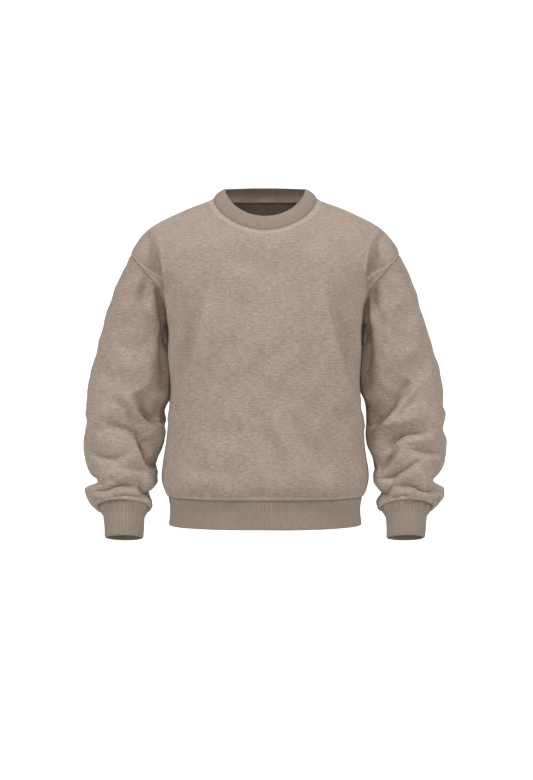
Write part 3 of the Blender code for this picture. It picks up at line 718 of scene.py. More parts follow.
def new_mesh(name, points, corners, uv, values):
    """A mesh of quads with its UV map and point values, as an object."""
    data = bpy.data.meshes.new(name)
    data.vertices.add(len(points))
    data.vertices.foreach_set("co", (points * MM).astype(np.float32).ravel())
    data.loops.add(corners.size)
    data.loops.foreach_set("vertex_index", corners.astype(np.int32).ravel())
    data.polygons.add(len(corners))
    data.polygons.foreach_set("loop_start", np.arange(0, corners.size, 4, dtype=np.int32))
    data.update(calc_edges=True)
    layer = data.uv_layers.new(name="cloth")
    layer.data.foreach_set("uv", (uv * MM).astype(np.float32).ravel())
    for key, value in values.items():
        data.attributes.new(key, "FLOAT", "POINT").data.foreach_set(
            "value", value.astype(np.float32).ravel())
    data.shade_smooth()
    return placed(name, data)


def wall(name, outer, inner, closed, way, flat, seam_gap, sewn_gap):
    """A cloth wall between an outer and an inner grid.  `flat` is its places across and along
    the flat cloth, with one more column than the grid where it is closed."""
    across, along = flat
    rows, columns = outer.shape[:2]
    count = rows * columns
    cells = quads_of(rows, columns, False, closed)
    row, column = cells[..., 0], cells[..., 1]
    face = row * columns + column % columns
    quads = [face, face[:, ::-1] + count]
    places = [(row, column), (row[:, ::-1], column[:, ::-1])]
    step = np.arange(columns - 1 + closed)
    for edge, ahead in ((0, False), (rows - 1, True)):
        first, second = (step, step + 1) if ahead else (step + 1, step)
        rim = np.stack((first, second, second, first), axis=1)
        index = edge * columns + rim % columns
        index[:, 2:] += count
        quads.append(index)
        places.append((np.full(rim.shape, edge), rim))
    if not closed:
        step = np.arange(rows - 1)
        for edge, ahead in ((0, True), (columns - 1, False)):
            first, second = (step, step + 1) if ahead else (step + 1, step)
            rim = np.stack((first, second, second, first), axis=1)
            index = rim * columns + edge
            index[:, 2:] += count
            quads.append(index)
            places.append((rim, np.full(rim.shape, edge)))
    corners = np.concatenate(quads)
    row = np.concatenate([place[0] for place in places])
    column = np.concatenate([place[1] for place in places])
    if way < 0:
        corners, row, column = corners[:, ::-1], row[:, ::-1], column[:, ::-1]
    uv = np.stack((across[row, column], along[row, column]), axis=-1)
    points = np.concatenate((outer.reshape(-1, 3), inner.reshape(-1, 3)))
    values = {"seam_gap": np.concatenate((seam_gap.ravel(), seam_gap.ravel())),
              "sewn_gap": np.concatenate((sewn_gap.ravel(), sewn_gap.ravel())),
              "inside": np.repeat((0.0, 1.0), count)}
    return new_mesh(name, points, corners, uv, values)


def fleece_panel(face, grid, way, shared):
    """The front or back, with its creases, gathers and seams.  Also returns its outer and inner
    faces."""
    rows = np.arange(grid.shape[0])
    across = arc_length(grid, 1)
    middle = grid.shape[1] // 2
    across = across - across[:, middle:middle + 1]
    along = arc_length(grid, 0)
    side_gap = np.minimum(across - across[:, :1], across[:, -1:] - across)
    top_gap = along[-1:] - along
    seam_gap = np.minimum(np.minimum(side_gap, along), top_gap)
    side_soft, hem_soft, top_soft = BODY_SOFT
    soft = (np.clip(side_gap / side_soft, 0, 1) * np.clip(along / hem_soft, 0, 1)
            * np.clip(top_gap / top_soft, 0, 1))
    creases = FRONT_CREASES if face == "front" else BACK_CREASES
    hold = eased(soft)
    seed = 11 if face == "front" else 12
    shaped = creased(grid, grid[..., 0], False, way, creases, hold)
    normal = led_by_seams(face_normals(shaped, False) * way, shared, across, along, False)
    pull = gathers(across, along, *BODY_GATHERS, seed) * np.clip(along / GATHER_START, 0, 1)
    for wave in uneven(grid, BODY_WAVES, seed, hold):
        pull += wave
    pull = pull * np.clip(side_gap / SIDE_START, 0, 1) + seam_profile(seam_gap)
    armhole_gap = np.where(rows[:, None] >= SIDE_CELLS, side_gap,
                           np.hypot(side_gap, along[SIDE_CELLS:SIDE_CELLS + 1] - along))
    pull += armhole_fold(armhole_gap, grid[..., 2], BODY_LIP)
    shaped = trimmed(shaped - normal * pull[..., None], False)
    normal = led_by_seams(face_normals(shaped, False) * way, shared, across, along, False)
    inner = shaped - normal * FLEECE
    middle_cut = slice(middle - NECK_CELLS, middle + NECK_CELLS + 1)
    sewn_gap = np.minimum(along, distance_to(grid, grid[-1, middle_cut]))
    for edge in (0, -1):
        sewn_gap = np.minimum(sewn_gap, distance_to(grid, grid[SIDE_CELLS:, edge]))
    piece = wall(face, shaped, inner, False, way, (across, along), seam_gap, sewn_gap)
    return piece, shaped, inner


def fleece_sleeve(grid, turn, creases, shared, seed):
    """A sleeve's outer face, for the wearer's left, with its creases, gathers and seams.  Also
    returns its places across and along the flat cloth, the distance to the nearest seam and its
    outward directions."""
    ring = np.concatenate((grid, grid[:, :1]), axis=1)
    across = arc_length(ring, 1)
    along = arc_length(ring, 0)
    end_gap = along[-1:, :-1] - along[:, :-1]
    seam_gap = np.minimum(along[:, :-1], end_gap)
    under_seam = np.minimum(across, across[:, -1:] - across)[:, :-1]
    top_soft, end_soft = SLEEVE_SOFT
    hold = eased(np.clip(along[:, :-1] / top_soft, 0, 1) * np.clip(end_gap / end_soft, 0, 1))
    degrees = np.broadcast_to(np.degrees(turn), grid.shape[:2])
    shaped = creased(grid, degrees * SLEEVE_ARC, True, -1, creases, hold,
                     laps=(-360 * SLEEVE_ARC, 0, 360 * SLEEVE_ARC))
    flat = (across[:, :-1], along[:, :-1])
    normal = led_by_seams(-face_normals(shaped, True), shared, *flat, True)
    pull = (gathers(across[:, :-1], end_gap, *SLEEVE_GATHERS, seed)
            * np.clip(end_gap / GATHER_START, 0, 1))
    for wave in uneven(grid, SLEEVE_WAVES, seed, hold):
        pull += wave
    groove, width = UNDER_SEAM
    pull += seam_profile(seam_gap) + groove * np.exp(-(under_seam / width) ** 2) * hold
    pull += armhole_fold(along[:, :-1], grid[:1, :, 2], SLEEVE_LIP)
    shaped = trimmed(shaped - normal * pull[..., None], True)
    lean = GRAIN_LEAN * np.clip((ring[..., 2] - GRAIN_LOW) / GRAIN_RUN, 0, 1)
    level = -ring[..., 2] + lean * (ring[..., 0] - SLEEVE_MIDDLE)
    return shaped, across, level, seam_gap, led_by_seams(-face_normals(shaped, True), shared,
                                                         *flat, True)


# ---------------------------------------------------------------- rib bands


# A band's hidden edge lies inside its seam and runs on under the panel.
HEM_HIDDEN_IN = 3.0
HEM_HIDDEN_RUN = 5.0
HEM_SUNK = 1.7              # how far inside the seam the band comes out
HEM_NIP = 1.3               # and how much it is still drawn in just below
HEM_TOP = -597              # level of its first free ring
HEM_RINGS = 15
HEM_SWAY = (1.1, (160, 90))     # height and lengths of the band's own unevenness
CUFF_HIDDEN_IN = 3.6
CUFF_HIDDEN_RUN = 4.0
CUFF_SUNK = 2.0
CUFF_TOP = -621
CUFF_RINGS = 16
CUFF_SPREAD = 0.7           # power: how soon below the seam it has its own section
CUFF_SWAY = (0.8, (70, 40))
NECK_HIDDEN_IN = 3.2
NECK_HIDDEN_RUN = 4.0
NECK_SUNK = 2.0
NECK_RINGS = (0.07, 0.96, 13)   # first and last share of the collar's height, and their number
NECK_NIP = (1.2, 0.12)      # depth and height of the dip just above the neck seam
FOLD_ANGLES = (30, 60, 90, 120, 150)
FOLD_RIB = 0.55             # height of the ribs at the fold and inside, as a share of the outside's
RIB_START = (3.0, 0.6, 0.12)    # how the ribs rise from the seam: run, delay and least share


def rib_start(reach):
    """How far the ribs have risen at a distance from the seam."""
    run, delay, least = RIB_START
    return np.clip(reach / run - delay, least, 1)


def ring_evenly(points, extra, count):
    """A closed line cut into equal parts, with the directions that go with its points."""
    ring = np.concatenate((points, points[:1]))
    more = np.concatenate((extra, extra[:1]))
    reach = arc_length(ring, 0)
    at = np.linspace(0, reach[-1], count, endpoint=False)
    return read_line(at, reach, ring), unit(read_line(at, reach, more)), reach[-1]


def rib_count(length):
    return int(round(length / RIB_PITCH))


def band(name, rings, outward, ribs, length):
    """A folded rib band: the rings run from the seam to the fold on the outer face, and come
    back inside.  The ribs themselves are raised by the ribbing tree."""
    rings = np.array(rings)
    outward = np.array(outward)
    half = RIB_WALL / 2
    down = unit(rings[-1] - rings[-2])
    fold = []
    for angle in np.radians(FOLD_ANGLES):
        fold.append(rings[-1] - outward[-1] * half * (1 - math.cos(angle))
                    + down * half * math.sin(angle))
    inner = rings[::-1] - outward[::-1] * RIB_WALL
    grid = np.concatenate((rings, np.array(fold), inner))
    rows, columns = grid.shape[:2]
    cells = quads_of(rows, columns, True, True)
    row, column = cells[..., 0], cells[..., 1]
    corners = row % rows * columns + column % columns
    along = np.mean(arc_length(np.concatenate((grid, grid[:1])), 0), axis=1)
    turn = np.linspace(0, ribs, columns, endpoint=False)
    uv = np.stack((column / columns * length, along[row]), axis=-1)
    outer_rows = len(rings)
    reach = np.mean(arc_length(rings, 0), axis=1)
    fade = np.concatenate((rib_start(reach), np.full(len(FOLD_ANGLES), FOLD_RIB),
                           FOLD_RIB * rib_start(reach[::-1])))
    values = {
        "rib_turn": np.broadcast_to(turn, (rows, columns)),
        "rib_fade": np.broadcast_to(fade[:, None], (rows, columns)),
        "inside": np.broadcast_to((np.arange(rows) > outer_rows + 3)[:, None], (rows, columns)),
        "seam_gap": np.broadcast_to(along[:-1, None], (rows, columns)),
    }
    signed = np.sum(face_normals(grid[:3], True)[1] * outward[1])
    if signed < 0:
        corners, uv = corners[:, ::-1], uv[:, ::-1]
    return new_mesh(name, grid.reshape(-1, 3), corners, uv, values)


def torso_ring(like, height):
    """A section of the waistband, its points spread as those of the seam above."""
    ring = like.copy()
    ring[:, 0] *= read(HEM, "half_width", height) / np.abs(like[:, 0]).max()
    for face, side in (("front", like[:, 1] < 0), ("back", like[:, 1] >= 0)):
        ring[side, 1] *= read(HEM, face, height) / np.abs(like[side, 1]).max()
    ring[:, 2] = height
    return ring


def waistband(front, back):
    """The hem rib, from the panels' lower edges down."""
    seam = np.concatenate((front[0], back[0, -2:0:-1]))
    away = unit(seam * np.array((1.0, 1.0, 0.0)))
    ribs = rib_count(WAIST_GIRTH)
    seam, away, length = ring_evenly(seam, away, ribs * RIB_COLUMNS)
    rings = [seam - away * HEM_HIDDEN_IN + np.array((0, 0, HEM_HIDDEN_RUN)),
             seam - away * HEM_SUNK]
    for height in np.linspace(HEM_TOP, HEM["height"][0], HEM_RINGS):
        if height > HEM["height"][-1]:
            share = (HEM_SEAM_HEIGHT - height) / (HEM_SEAM_HEIGHT - HEM["height"][-1])
            share = eased(share)
            ring = seam * (1 - share) + torso_ring(seam, HEM["height"][-1]) * share
            ring = ring - away * HEM_NIP * (1 - share)
            ring[:, 2] = height
        else:
            ring = torso_ring(seam, height)
        rings.append(ring)
    lower = np.array(rings)
    rise, lengths = HEM_SWAY
    sway = rise * waves(lower[2:], lengths, 71) * np.linspace(0.2, 1, len(lower) - 2)[:, None]
    lower[2:] += away * sway[..., None]
    return band("hem_rib", lower, [away] * len(lower), ribs, length)


def cuff(name, seam, seam_out, mirror, seed):
    """A cuff, from the sleeve's lower edge down."""
    ribs = rib_count(CUFF_GIRTH)
    seam, away, length = ring_evenly(seam, seam_out, ribs * RIB_COLUMNS)
    centre = seam.mean(axis=0)
    turn = np.arctan2((seam - centre)[:, 0] * mirror[0], -(seam - centre)[:, 1])
    level_out = unit((seam - centre) * np.array((1.0, 1.0, 0.0)))
    rings = [seam - level_out * CUFF_HIDDEN_IN + np.array((0, 0, CUFF_HIDDEN_RUN)),
             seam - level_out * CUFF_SUNK]
    ways = [away, away]
    for height in np.linspace(CUFF_TOP, CUFF["height"][0], CUFF_RINGS):
        if height > CUFF["height"][-1]:
            share = (CUFF_SEAM_HEIGHT - height) / (CUFF_SEAM_HEIGHT - CUFF["height"][-1])
            share = share ** CUFF_SPREAD
            target = section(CUFF, np.full(len(turn), CUFF["height"][-1]), turn) * mirror
            ring = rings[1] * (1 - share) + target * share
        else:
            ring = section(CUFF, np.full(len(turn), height), turn) * mirror
        rings.append(ring)
        ways.append(unit((ring - ring.mean(axis=0)) * np.array((1.0, 1.0, 0.2))))
    lower = np.array(rings)
    rise, lengths = CUFF_SWAY
    sway = rise * waves(lower[2:], lengths, seed) * np.linspace(0, 1, len(lower) - 2)[:, None]
    lower[2:] += np.array(ways[2:]) * sway[..., None]
    return band(name, lower, ways, ribs, length)


def collar_top(turn):
    """The collar's free edge: turn 0 is the centre front, pi the centre back."""
    size = COLLAR_TOP
    front = np.cos(turn) > 0
    swing = np.abs(np.cos(turn))
    deep = np.where(front, -size["front"], size["back"]) * swing
    end = np.where(front, size["front_height"], size["back_height"])
    height = size["side_height"] + (end - size["side_height"]) * swing ** 1.2
    return np.stack((size["half_width"] * np.sin(turn), deep, height), axis=1)


def collar(front, back, front_out, back_out):
    """The neck rib, from the neckline up and in."""
    line = np.concatenate((front, back[-2:0:-1]))
    away = np.concatenate((front_out, back_out[-2:0:-1]))
    ribs = rib_count(NECK_GIRTH)
    seam, seam_out, length = ring_evenly(line, away, ribs * RIB_COLUMNS)
    ring = np.concatenate((line, line[:1]))
    reach = arc_length(ring, 0)
    corner = np.array((0, len(front) - 1, len(line)))
    share = np.interp(np.linspace(0, reach[-1], len(seam), endpoint=False), reach[corner],
                      (0.0, 0.5, 1.0))
    turn = 2 * math.pi * share - math.pi / 2
    top = collar_top(turn)
    top_out = unit(top * np.array((1.0, 1.0, 0.0)) + np.array((0.0, 0.0, COLLAR_TOP["lean"])))
    across = unit(top - seam)
    rings = [seam - seam_out * NECK_HIDDEN_IN - across * NECK_HIDDEN_RUN,
             seam - seam_out * NECK_SUNK]
    ways = [seam_out, seam_out]
    dip, dip_height = NECK_NIP
    for share in np.linspace(*NECK_RINGS):
        direction = unit((1 - share) * seam_out + share * top_out)
        bow = COLLAR_BOW * math.sin(math.pi * share) - dip * math.exp(-(share / dip_height) ** 2)
        rings.append((1 - share) * seam + share * top + bow * direction)
        ways.append(direction)
    return band("neck_rib", rings, ways, ribs, length)


def at_gap(gap, reach, values):
    """Each column's value at a distance along it."""
    return [[np.interp(gap, reach[:, column], values[:, column, axis]) for axis in range(3)]
            for column in range(values.shape[1])]


def neck_tape(inner, normal):
    """The tape inside the back neck seam, laid on the back panel's inner face."""
    inner, normal = inner[::-1, TAPE_ENDS:-TAPE_ENDS], normal[::-1, TAPE_ENDS:-TAPE_ENDS]
    reach = arc_length(inner, 0)
    steps = np.linspace(TAPE_DROP, TAPE_DROP + TAPE_WIDTH, TAPE_ROWS)
    face = np.array([at_gap(step, reach, inner) for step in steps])
    ways = unit(np.array([at_gap(step, reach, normal) for step in steps]))
    edge = np.minimum(np.arange(len(steps)), np.arange(len(steps))[::-1])
    crown = TAPE * np.clip(0.35 + edge / 2, 0, 1)[:, None, None]
    outer = face - ways * (TAPE_OVER + crown)
    inner_face = face - ways * TAPE_UNDER
    across = arc_length(outer, 1)
    along = arc_length(outer, 0)
    far = np.full(outer.shape[:2], FAR)
    signed = np.sum(face_normals(outer, False)[4] * -ways[4])
    return wall("neck_tape", outer, inner_face, False, math.copysign(1, signed), (across, along),
                far, far)


# ---------------------------------------------------------------- node trees that make shapes


def shape_tree(name, inputs):
    """An empty geometry tree with its named inputs, its ends and a shorthand for new nodes."""
    tree = bpy.data.node_groups.new(name, "GeometryNodeTree")
    tree.interface.new_socket("Geometry", in_out="INPUT", socket_type="NodeSocketGeometry")
    for label, kind, value in inputs:
        socket = tree.interface.new_socket(label, in_out="INPUT", socket_type=kind)
        if value is not None:
            socket.default_value = value
    tree.interface.new_socket("Geometry", in_out="OUTPUT", socket_type="NodeSocketGeometry")
    return tree, tree.nodes.new("NodeGroupInput"), tree.nodes.new("NodeGroupOutput")


def wired(tree, kind, settings=None, **sockets):
    """A new node with its settings, and its inputs set or linked.  A socket is named by its
    label in lower case, or by its number as in at0."""
    node = tree.nodes.new(kind)
    for key, value in (settings or {}).items():
        setattr(node, key, value)
    for key, value in sockets.items():
        if key.startswith("at") and key[2:].isdigit():
            socket = node.inputs[int(key[2:])]
        else:
            socket = node.inputs[key.replace("_", " ").title()]
        if isinstance(value, bpy.types.NodeSocket):
            tree.links.new(value, socket)
        else:
            socket.default_value = value
    return node


def math_node(tree, operation, *values):
    """The result of one sum on numbers or sockets."""
    sockets = {f"at{index}": value for index, value in enumerate(values)}
    return wired(tree, "ShaderNodeMath", {"operation": operation}, **sockets).outputs[0]


def arches(tree, turns):
    """Rounded humps from 0 to 1, one for each turn."""
    half = math_node(tree, "MULTIPLY", turns, math.pi)
    return math_node(tree, "ABSOLUTE", math_node(tree, "SINE", half))


def ended(tree, geometry, start, end):
    """Ends a shape tree: plain geometry with its finish."""
    plain = wired(tree, "GeometryNodeRealizeInstances", geometry=geometry)
    done = wired(tree, "GeometryNodeSetMaterial", geometry=plain.outputs[0],
                 material=start.outputs["Finish"])
    tree.links.new(done.outputs[0], end.inputs[0])
    return tree


def named(tree, name, kind="FLOAT"):
    node = wired(tree, "GeometryNodeInputNamedAttribute", {"data_type": kind}, name=name)
    return node.outputs["Attribute"]


def ribbing_tree():
    """Raises rounded ribs on a band along its normals, each a little different."""
    tree, start, end = shape_tree("ribbing", (
        ("Rise", "NodeSocketFloat", RIB_RISE * MM), ("Roundness", "NodeSocketFloat", 0.62),
        ("Unevenness", "NodeSocketFloat", 0.14), ("Seed", "NodeSocketInt", 5),
        ("Finish", "NodeSocketMaterial", None)))
    turn = named(tree, "rib_turn")
    crown = math_node(tree, "POWER", arches(tree, turn), start.outputs["Roundness"])
    least = math_node(tree, "SUBTRACT", 1.0, start.outputs["Unevenness"])
    most = math_node(tree, "ADD", 1.0, start.outputs["Unevenness"])
    uneven = wired(tree, "FunctionNodeRandomValue", {"data_type": "FLOAT"}, at2=least, at3=most,
                   at7=math_node(tree, "FLOOR", turn), at8=start.outputs["Seed"])
    height = math_node(tree, "MULTIPLY", crown, uneven.outputs[1])
    height = math_node(tree, "MULTIPLY", height, named(tree, "rib_fade"))
    height = math_node(tree, "MULTIPLY", height, start.outputs["Rise"])
    normal = wired(tree, "GeometryNodeInputNormal").outputs[0]
    offset = wired(tree, "ShaderNodeVectorMath", {"operation": "SCALE"}, at0=normal, scale=height)
    moved = wired(tree, "GeometryNodeSetPosition", geometry=start.outputs[0],
                  offset=offset.outputs[0])
    return ended(tree, moved.outputs[0], start, end)


def stitching_tree():
    """Lays a row of thread stitches along each line, lying on the cloth that it faces."""
    tree, start, end = shape_tree("stitching", (
        ("Pitch", "NodeSocketFloat", STITCH_PITCH * MM),
        ("Stitch", "NodeSocketFloat", STITCH_LENGTH * MM),
        ("Thread", "NodeSocketFloat", THREAD * MM), ("Seed", "NodeSocketInt", 3),
        ("Finish", "NodeSocketMaterial", None)))
    line = wired(tree, "GeometryNodeMeshToCurve", mesh=start.outputs[0])
    evenly = wired(tree, "GeometryNodeResampleCurve", {"mode": "LENGTH"}, curve=line.outputs[0],
                   length=start.outputs["Pitch"])
    bead = wired(tree, "GeometryNodeMeshUVSphere", segments=6, rings=4, radius=0.5)
    tangent = wired(tree, "GeometryNodeInputTangent").outputs[0]
    ahead = wired(tree, "FunctionNodeAlignRotationToVector", {"axis": "X"}, vector=tangent)
    facing = named(tree, "facing", "FLOAT_VECTOR")
    lie = wired(tree, "FunctionNodeAlignRotationToVector", {"axis": "Z", "pivot_axis": "X"},
                rotation=ahead.outputs[0], vector=facing)
    slack = wired(tree, "FunctionNodeRandomValue", {"data_type": "FLOAT"}, at2=0.86, at3=1.06,
                  at8=start.outputs["Seed"])
    length = math_node(tree, "MULTIPLY", start.outputs["Stitch"], slack.outputs[1])
    size = wired(tree, "ShaderNodeCombineXYZ", x=length, y=start.outputs["Thread"],
                 z=start.outputs["Thread"])
    row = wired(tree, "GeometryNodeInstanceOnPoints", points=evenly.outputs[0],
                instance=bead.outputs[0], rotation=lie.outputs[0], scale=size.outputs[0])
    return ended(tree, row.outputs[0], start, end)


def grown(piece, tree, values):
    """The piece as its tree makes it, turned to a plain mesh."""
    modifier = piece.modifiers.new(tree.name, "NODES")
    modifier.node_group = tree
    for item in tree.interface.items_tree:
        if item.in_out == "INPUT" and item.name in values:
            modifier[item.identifier] = values[item.name]
    view = bpy.context.evaluated_depsgraph_get()
    shape = bpy.data.meshes.new_from_object(piece.evaluated_get(view),
                                            preserve_all_data_layers=True, depsgraph=view)
    piece.modifiers.remove(modifier)
    piece.data = shape
    shape.shade_smooth()
    return piece


def line_from_edge(grid, normal, gap, lift, closed=False):
    """A line on the cloth at a distance from a grid's first row, just above its face."""
    reach = arc_length(grid, 0)
    way = unit(np.array(at_gap(gap, reach, normal)))
    return np.array(at_gap(gap, reach, grid)) + way * lift, way, closed


def stitch_rows(name, lines, tree, finish, seed):
    """A piece made of rows of stitches along several lines."""
    points, ways, edges = [], [], []
    count = 0
    for place, way, closed in lines:
        size = len(place)
        steps = np.arange(size if closed else size - 1)
        edges += [(count + step, count + (step + 1) % size) for step in steps]
        points.append(place)
        ways.append(way)
        count += size
    data = bpy.data.meshes.new(name)
    data.from_pydata((np.concatenate(points) * MM).tolist(), edges, [])
    data.attributes.new("facing", "FLOAT_VECTOR", "POINT").data.foreach_set(
        "vector", np.concatenate(ways).astype(np.float32).ravel())
    return grown(placed(name, data), tree, {"Seed": seed, "Finish": finish})


# ---------------------------------------------------------------- shader groups


def shader_group(name, inputs, outputs):
    """An empty shader group with named sockets."""
    group = bpy.data.node_groups.new(name, "ShaderNodeTree")
    for label, kind, value in inputs:
        socket = group.interface.new_socket(label, in_out="INPUT", socket_type=kind)
        if value is not None:
            socket.default_value = value
    for label, kind in outputs:
        group.interface.new_socket(label, in_out="OUTPUT", socket_type=kind)
    return group, group.nodes.new("NodeGroupInput"), group.nodes.new("NodeGroupOutput")


def noise(tree, place, scale, detail, roughness=0.55):
    """Noise from 0 to 1 at a place, stretched by a scale for each axis."""
    mapped = wired(tree, "ShaderNodeMapping", vector=place, scale=scale)
    field = wired(tree, "ShaderNodeTexNoise", vector=mapped.outputs[0], scale=1.0, detail=detail,
                  roughness=roughness)
    return field.outputs["Fac"]


def blend(tree, share, first, second):
    """A mix of two colours or colour sockets."""
    mix = wired(tree, "ShaderNodeMix", {"data_type": "RGBA"}, at0=share, at6=first, at7=second)
    return mix.outputs[2]


def heather_group():
    """Yarn of mixed fibres: a tone that runs in short level streaks, with larger soft slubs."""
    group, start, end = shader_group("heather", (
        ("Cloth", "NodeSocketVector", None), ("Dark", "NodeSocketColor", (0.2, 0.15, 0.12, 1)),
        ("Light", "NodeSocketColor", (0.5, 0.42, 0.36, 1)), ("Contrast", "NodeSocketFloat", 1.0)),
        (("Color", "NodeSocketColor"), ("Height", "NodeSocketFloat")))
    cloth = start.outputs["Cloth"]
    streak = noise(group, cloth, (190, 640, 1), 2.0)
    slub = noise(group, cloth, (75, 390, 1), 2.0)
    patch = noise(group, cloth, (20, 30, 1), 2.0)
    fibre = noise(group, cloth, (900, 1500, 1), 2.0)
    tone = math_node(group, "MULTIPLY", streak, 1.0)
    tone = math_node(group, "MULTIPLY_ADD", slub, 1.0, tone)
    tone = math_node(group, "MULTIPLY_ADD", patch, 0.25, tone)
    tone = math_node(group, "MULTIPLY_ADD", fibre, 0.5, tone)
    centred = math_node(group, "SUBTRACT", tone, 1.375)
    spread_out = math_node(group, "MULTIPLY", centred, start.outputs["Contrast"])
    share = wired(group, "ShaderNodeMath", {"operation": "ADD", "use_clamp": True},
                  at0=spread_out, at1=0.5).outputs[0]
    group.links.new(blend(group, share, start.outputs["Dark"], start.outputs["Light"]),
                    end.inputs["Color"])
    height = math_node(group, "ADD", math_node(group, "MULTIPLY", streak, 0.6),
                       math_node(group, "MULTIPLY", fibre, 0.7))
    group.links.new(height, end.inputs["Height"])
    return group


def knit_group():
    """Columns of V-shaped knit stitches, as a height."""
    group, start, end = shader_group("knit", (
        ("Cloth", "NodeSocketVector", None), ("Wale", "NodeSocketFloat", 0.0012),
        ("Course", "NodeSocketFloat", 0.001)), (("Height", "NodeSocketFloat"),))
    place = wired(group, "ShaderNodeSeparateXYZ", vector=start.outputs["Cloth"])
    column = math_node(group, "DIVIDE", place.outputs[0], start.outputs["Wale"])
    row = math_node(group, "DIVIDE", place.outputs[1], start.outputs["Course"])
    leg = math_node(group, "ABSOLUTE", math_node(group, "MULTIPLY_ADD", math_node(
        group, "FRACT", column), 2.0, -1.0))
    slant = math_node(group, "MULTIPLY_ADD", leg, -0.7, row)
    loop = arches(group, slant)
    edge = math_node(group, "SUBTRACT", 1.0, math_node(group, "POWER", leg, 5.0))
    group.links.new(math_node(group, "MULTIPLY", loop, edge), end.inputs["Height"])
    return group


def seam_shade_group():
    """Painted shade down in a seam's groove, two pressed lines where it is sewn, and painted
    highlights along those lines.
    """
    group, start, end = shader_group("seam_shade", (
        ("Color", "NodeSocketColor", (0.4, 0.3, 0.25, 1)), ("Gap", "NodeSocketFloat", FAR),
        ("Sewn", "NodeSocketFloat", FAR), ("Near", "NodeSocketFloat", 2.2),
        ("Far", "NodeSocketFloat", 7.4)),
        (("Color", "NodeSocketColor"), ("Height", "NodeSocketFloat")))

    def line(gap, centre, width):
        away = math_node(group, "DIVIDE", math_node(
            group, "SUBTRACT", start.outputs[gap], centre), width)
        return math_node(group, "EXPONENT", math_node(
            group, "MULTIPLY", math_node(group, "MULTIPLY", away, away), -1.0))

    sewn = math_node(group, "ADD", line("Sewn", start.outputs["Near"], 0.6),
                     line("Sewn", start.outputs["Far"], 0.6))
    groove = line("Gap", 0.0, 1.0)
    # painted highlights along the two stitch rows, standing in for light caught by their raised
    # edges
    highlight_lines = math_node(group, "ADD", line("Sewn", start.outputs["Near"], 1.3),
                     line("Sewn", start.outputs["Far"], 1.3))
    light = math_node(group, "MULTIPLY", highlight_lines, 0.42)
    pale = blend(group, light, start.outputs["Color"], (0.72, 0.62, 0.54, 1))
    # painted shade: the cloth darkened towards near black in the seam's groove, where shade falls
    dark = math_node(group, "MULTIPLY", groove, 0.6)
    group.links.new(blend(group, dark, pale, (0.06, 0.045, 0.035, 1)), end.inputs["Color"])
    group.links.new(math_node(group, "SUBTRACT", 1.0, sewn), end.inputs["Height"])
    return group


# ---------------------------------------------------------------- materials

FLEECE_DARK = (0.240, 0.184, 0.146, 1)
FLEECE_LIGHT = (0.510, 0.408, 0.332, 1)
# RIB_DARK is also the painted shade between the ribs
RIB_DARK = (0.232, 0.181, 0.144, 1)
RIB_LIGHT = (0.450, 0.359, 0.292, 1)
# painted shade for the cloth's inner faces, darker to stand in for the shadow inside the garment
INSIDE_PAINTED_SHADE = (0.30, 0.24, 0.195, 1)
TAPE_DARK = (0.25, 0.20, 0.165, 1)
TAPE_LIGHT = (0.40, 0.33, 0.28, 1)
THREAD_COLOUR = (0.62, 0.52, 0.44, 1)


def material(name):
    """A new material and its nodes: the tree and the shader."""
    made = bpy.data.materials.new(name)
    made.use_nodes = True
    shader = made.node_tree.nodes["Principled BSDF"]
    shader.inputs["Metallic"].default_value = 0.0
    shader.inputs["Roughness"].default_value = 0.92
    shader.inputs["Specular IOR Level"].default_value = 0.25
    return made, made.node_tree, shader


def used(tree, group, **sockets):
    """A shader group placed in a material."""
    node = wired(tree, "ShaderNodeGroup", {"node_tree": group})
    for key, value in sockets.items():
        socket = node.inputs[key.title()]
        if isinstance(value, bpy.types.NodeSocket):
            tree.links.new(value, socket)
        else:
            socket.default_value = value
    return node


def flat_cloth(tree):
    return wired(tree, "ShaderNodeUVMap", {"uv_map": "cloth"}).outputs[0]


def point_value(tree, name):
    return wired(tree, "ShaderNodeAttribute", {"attribute_name": name}).outputs["Fac"]


def bumped(tree, shader, heights):
    """Bump nodes in a chain, from (height, distance in metres, strength)."""
    normal = None
    for height, distance, strength in heights:
        node = wired(tree, "ShaderNodeBump", height=height, distance=distance, strength=strength)
        if normal is not None:
            tree.links.new(normal, node.inputs["Normal"])
        normal = node.outputs[0]
    tree.links.new(normal, shader.inputs["Normal"])


def give_nap(shader, weight):
    """The pale bloom of short fibres seen from the side."""
    shader.inputs["Sheen Weight"].default_value = weight
    shader.inputs["Sheen Roughness"].default_value = 0.55
    shader.inputs["Sheen Tint"].default_value = (0.95, 0.88, 0.80, 1)


def fleece_material(groups):
    """Brushed heather fleece: level streaks, a fine knit face and a soft nap."""
    made, tree, shader = material("fleece")
    cloth = flat_cloth(tree)
    yarn = used(tree, groups["heather"], cloth=cloth, dark=FLEECE_DARK, light=FLEECE_LIGHT,
                contrast=1.25)
    # painted shade in the seam grooves and painted highlights along the stitch rows
    seam = used(tree, groups["seam_shade"], color=yarn.outputs["Color"],
                gap=point_value(tree, "seam_gap"), sewn=point_value(tree, "sewn_gap"))
    # the inner faces are darkened with painted shade
    inside = blend(tree, point_value(tree, "inside"), seam.outputs["Color"], INSIDE_PAINTED_SHADE)
    tree.links.new(inside, shader.inputs["Base Color"])
    knit = used(tree, groups["knit"], cloth=cloth, wale=0.0014, course=0.0011)
    nap = noise(tree, cloth, (520, 700, 1), 4.0, 0.7)
    bumped(tree, shader, ((seam.outputs["Height"], 0.0006, 0.6),
                          (knit.outputs["Height"], 0.00012, 0.35),
                          (yarn.outputs["Height"], 0.0005, 0.45), (nap, 0.0007, 0.45)))
    give_nap(shader, 0.22)
    return made


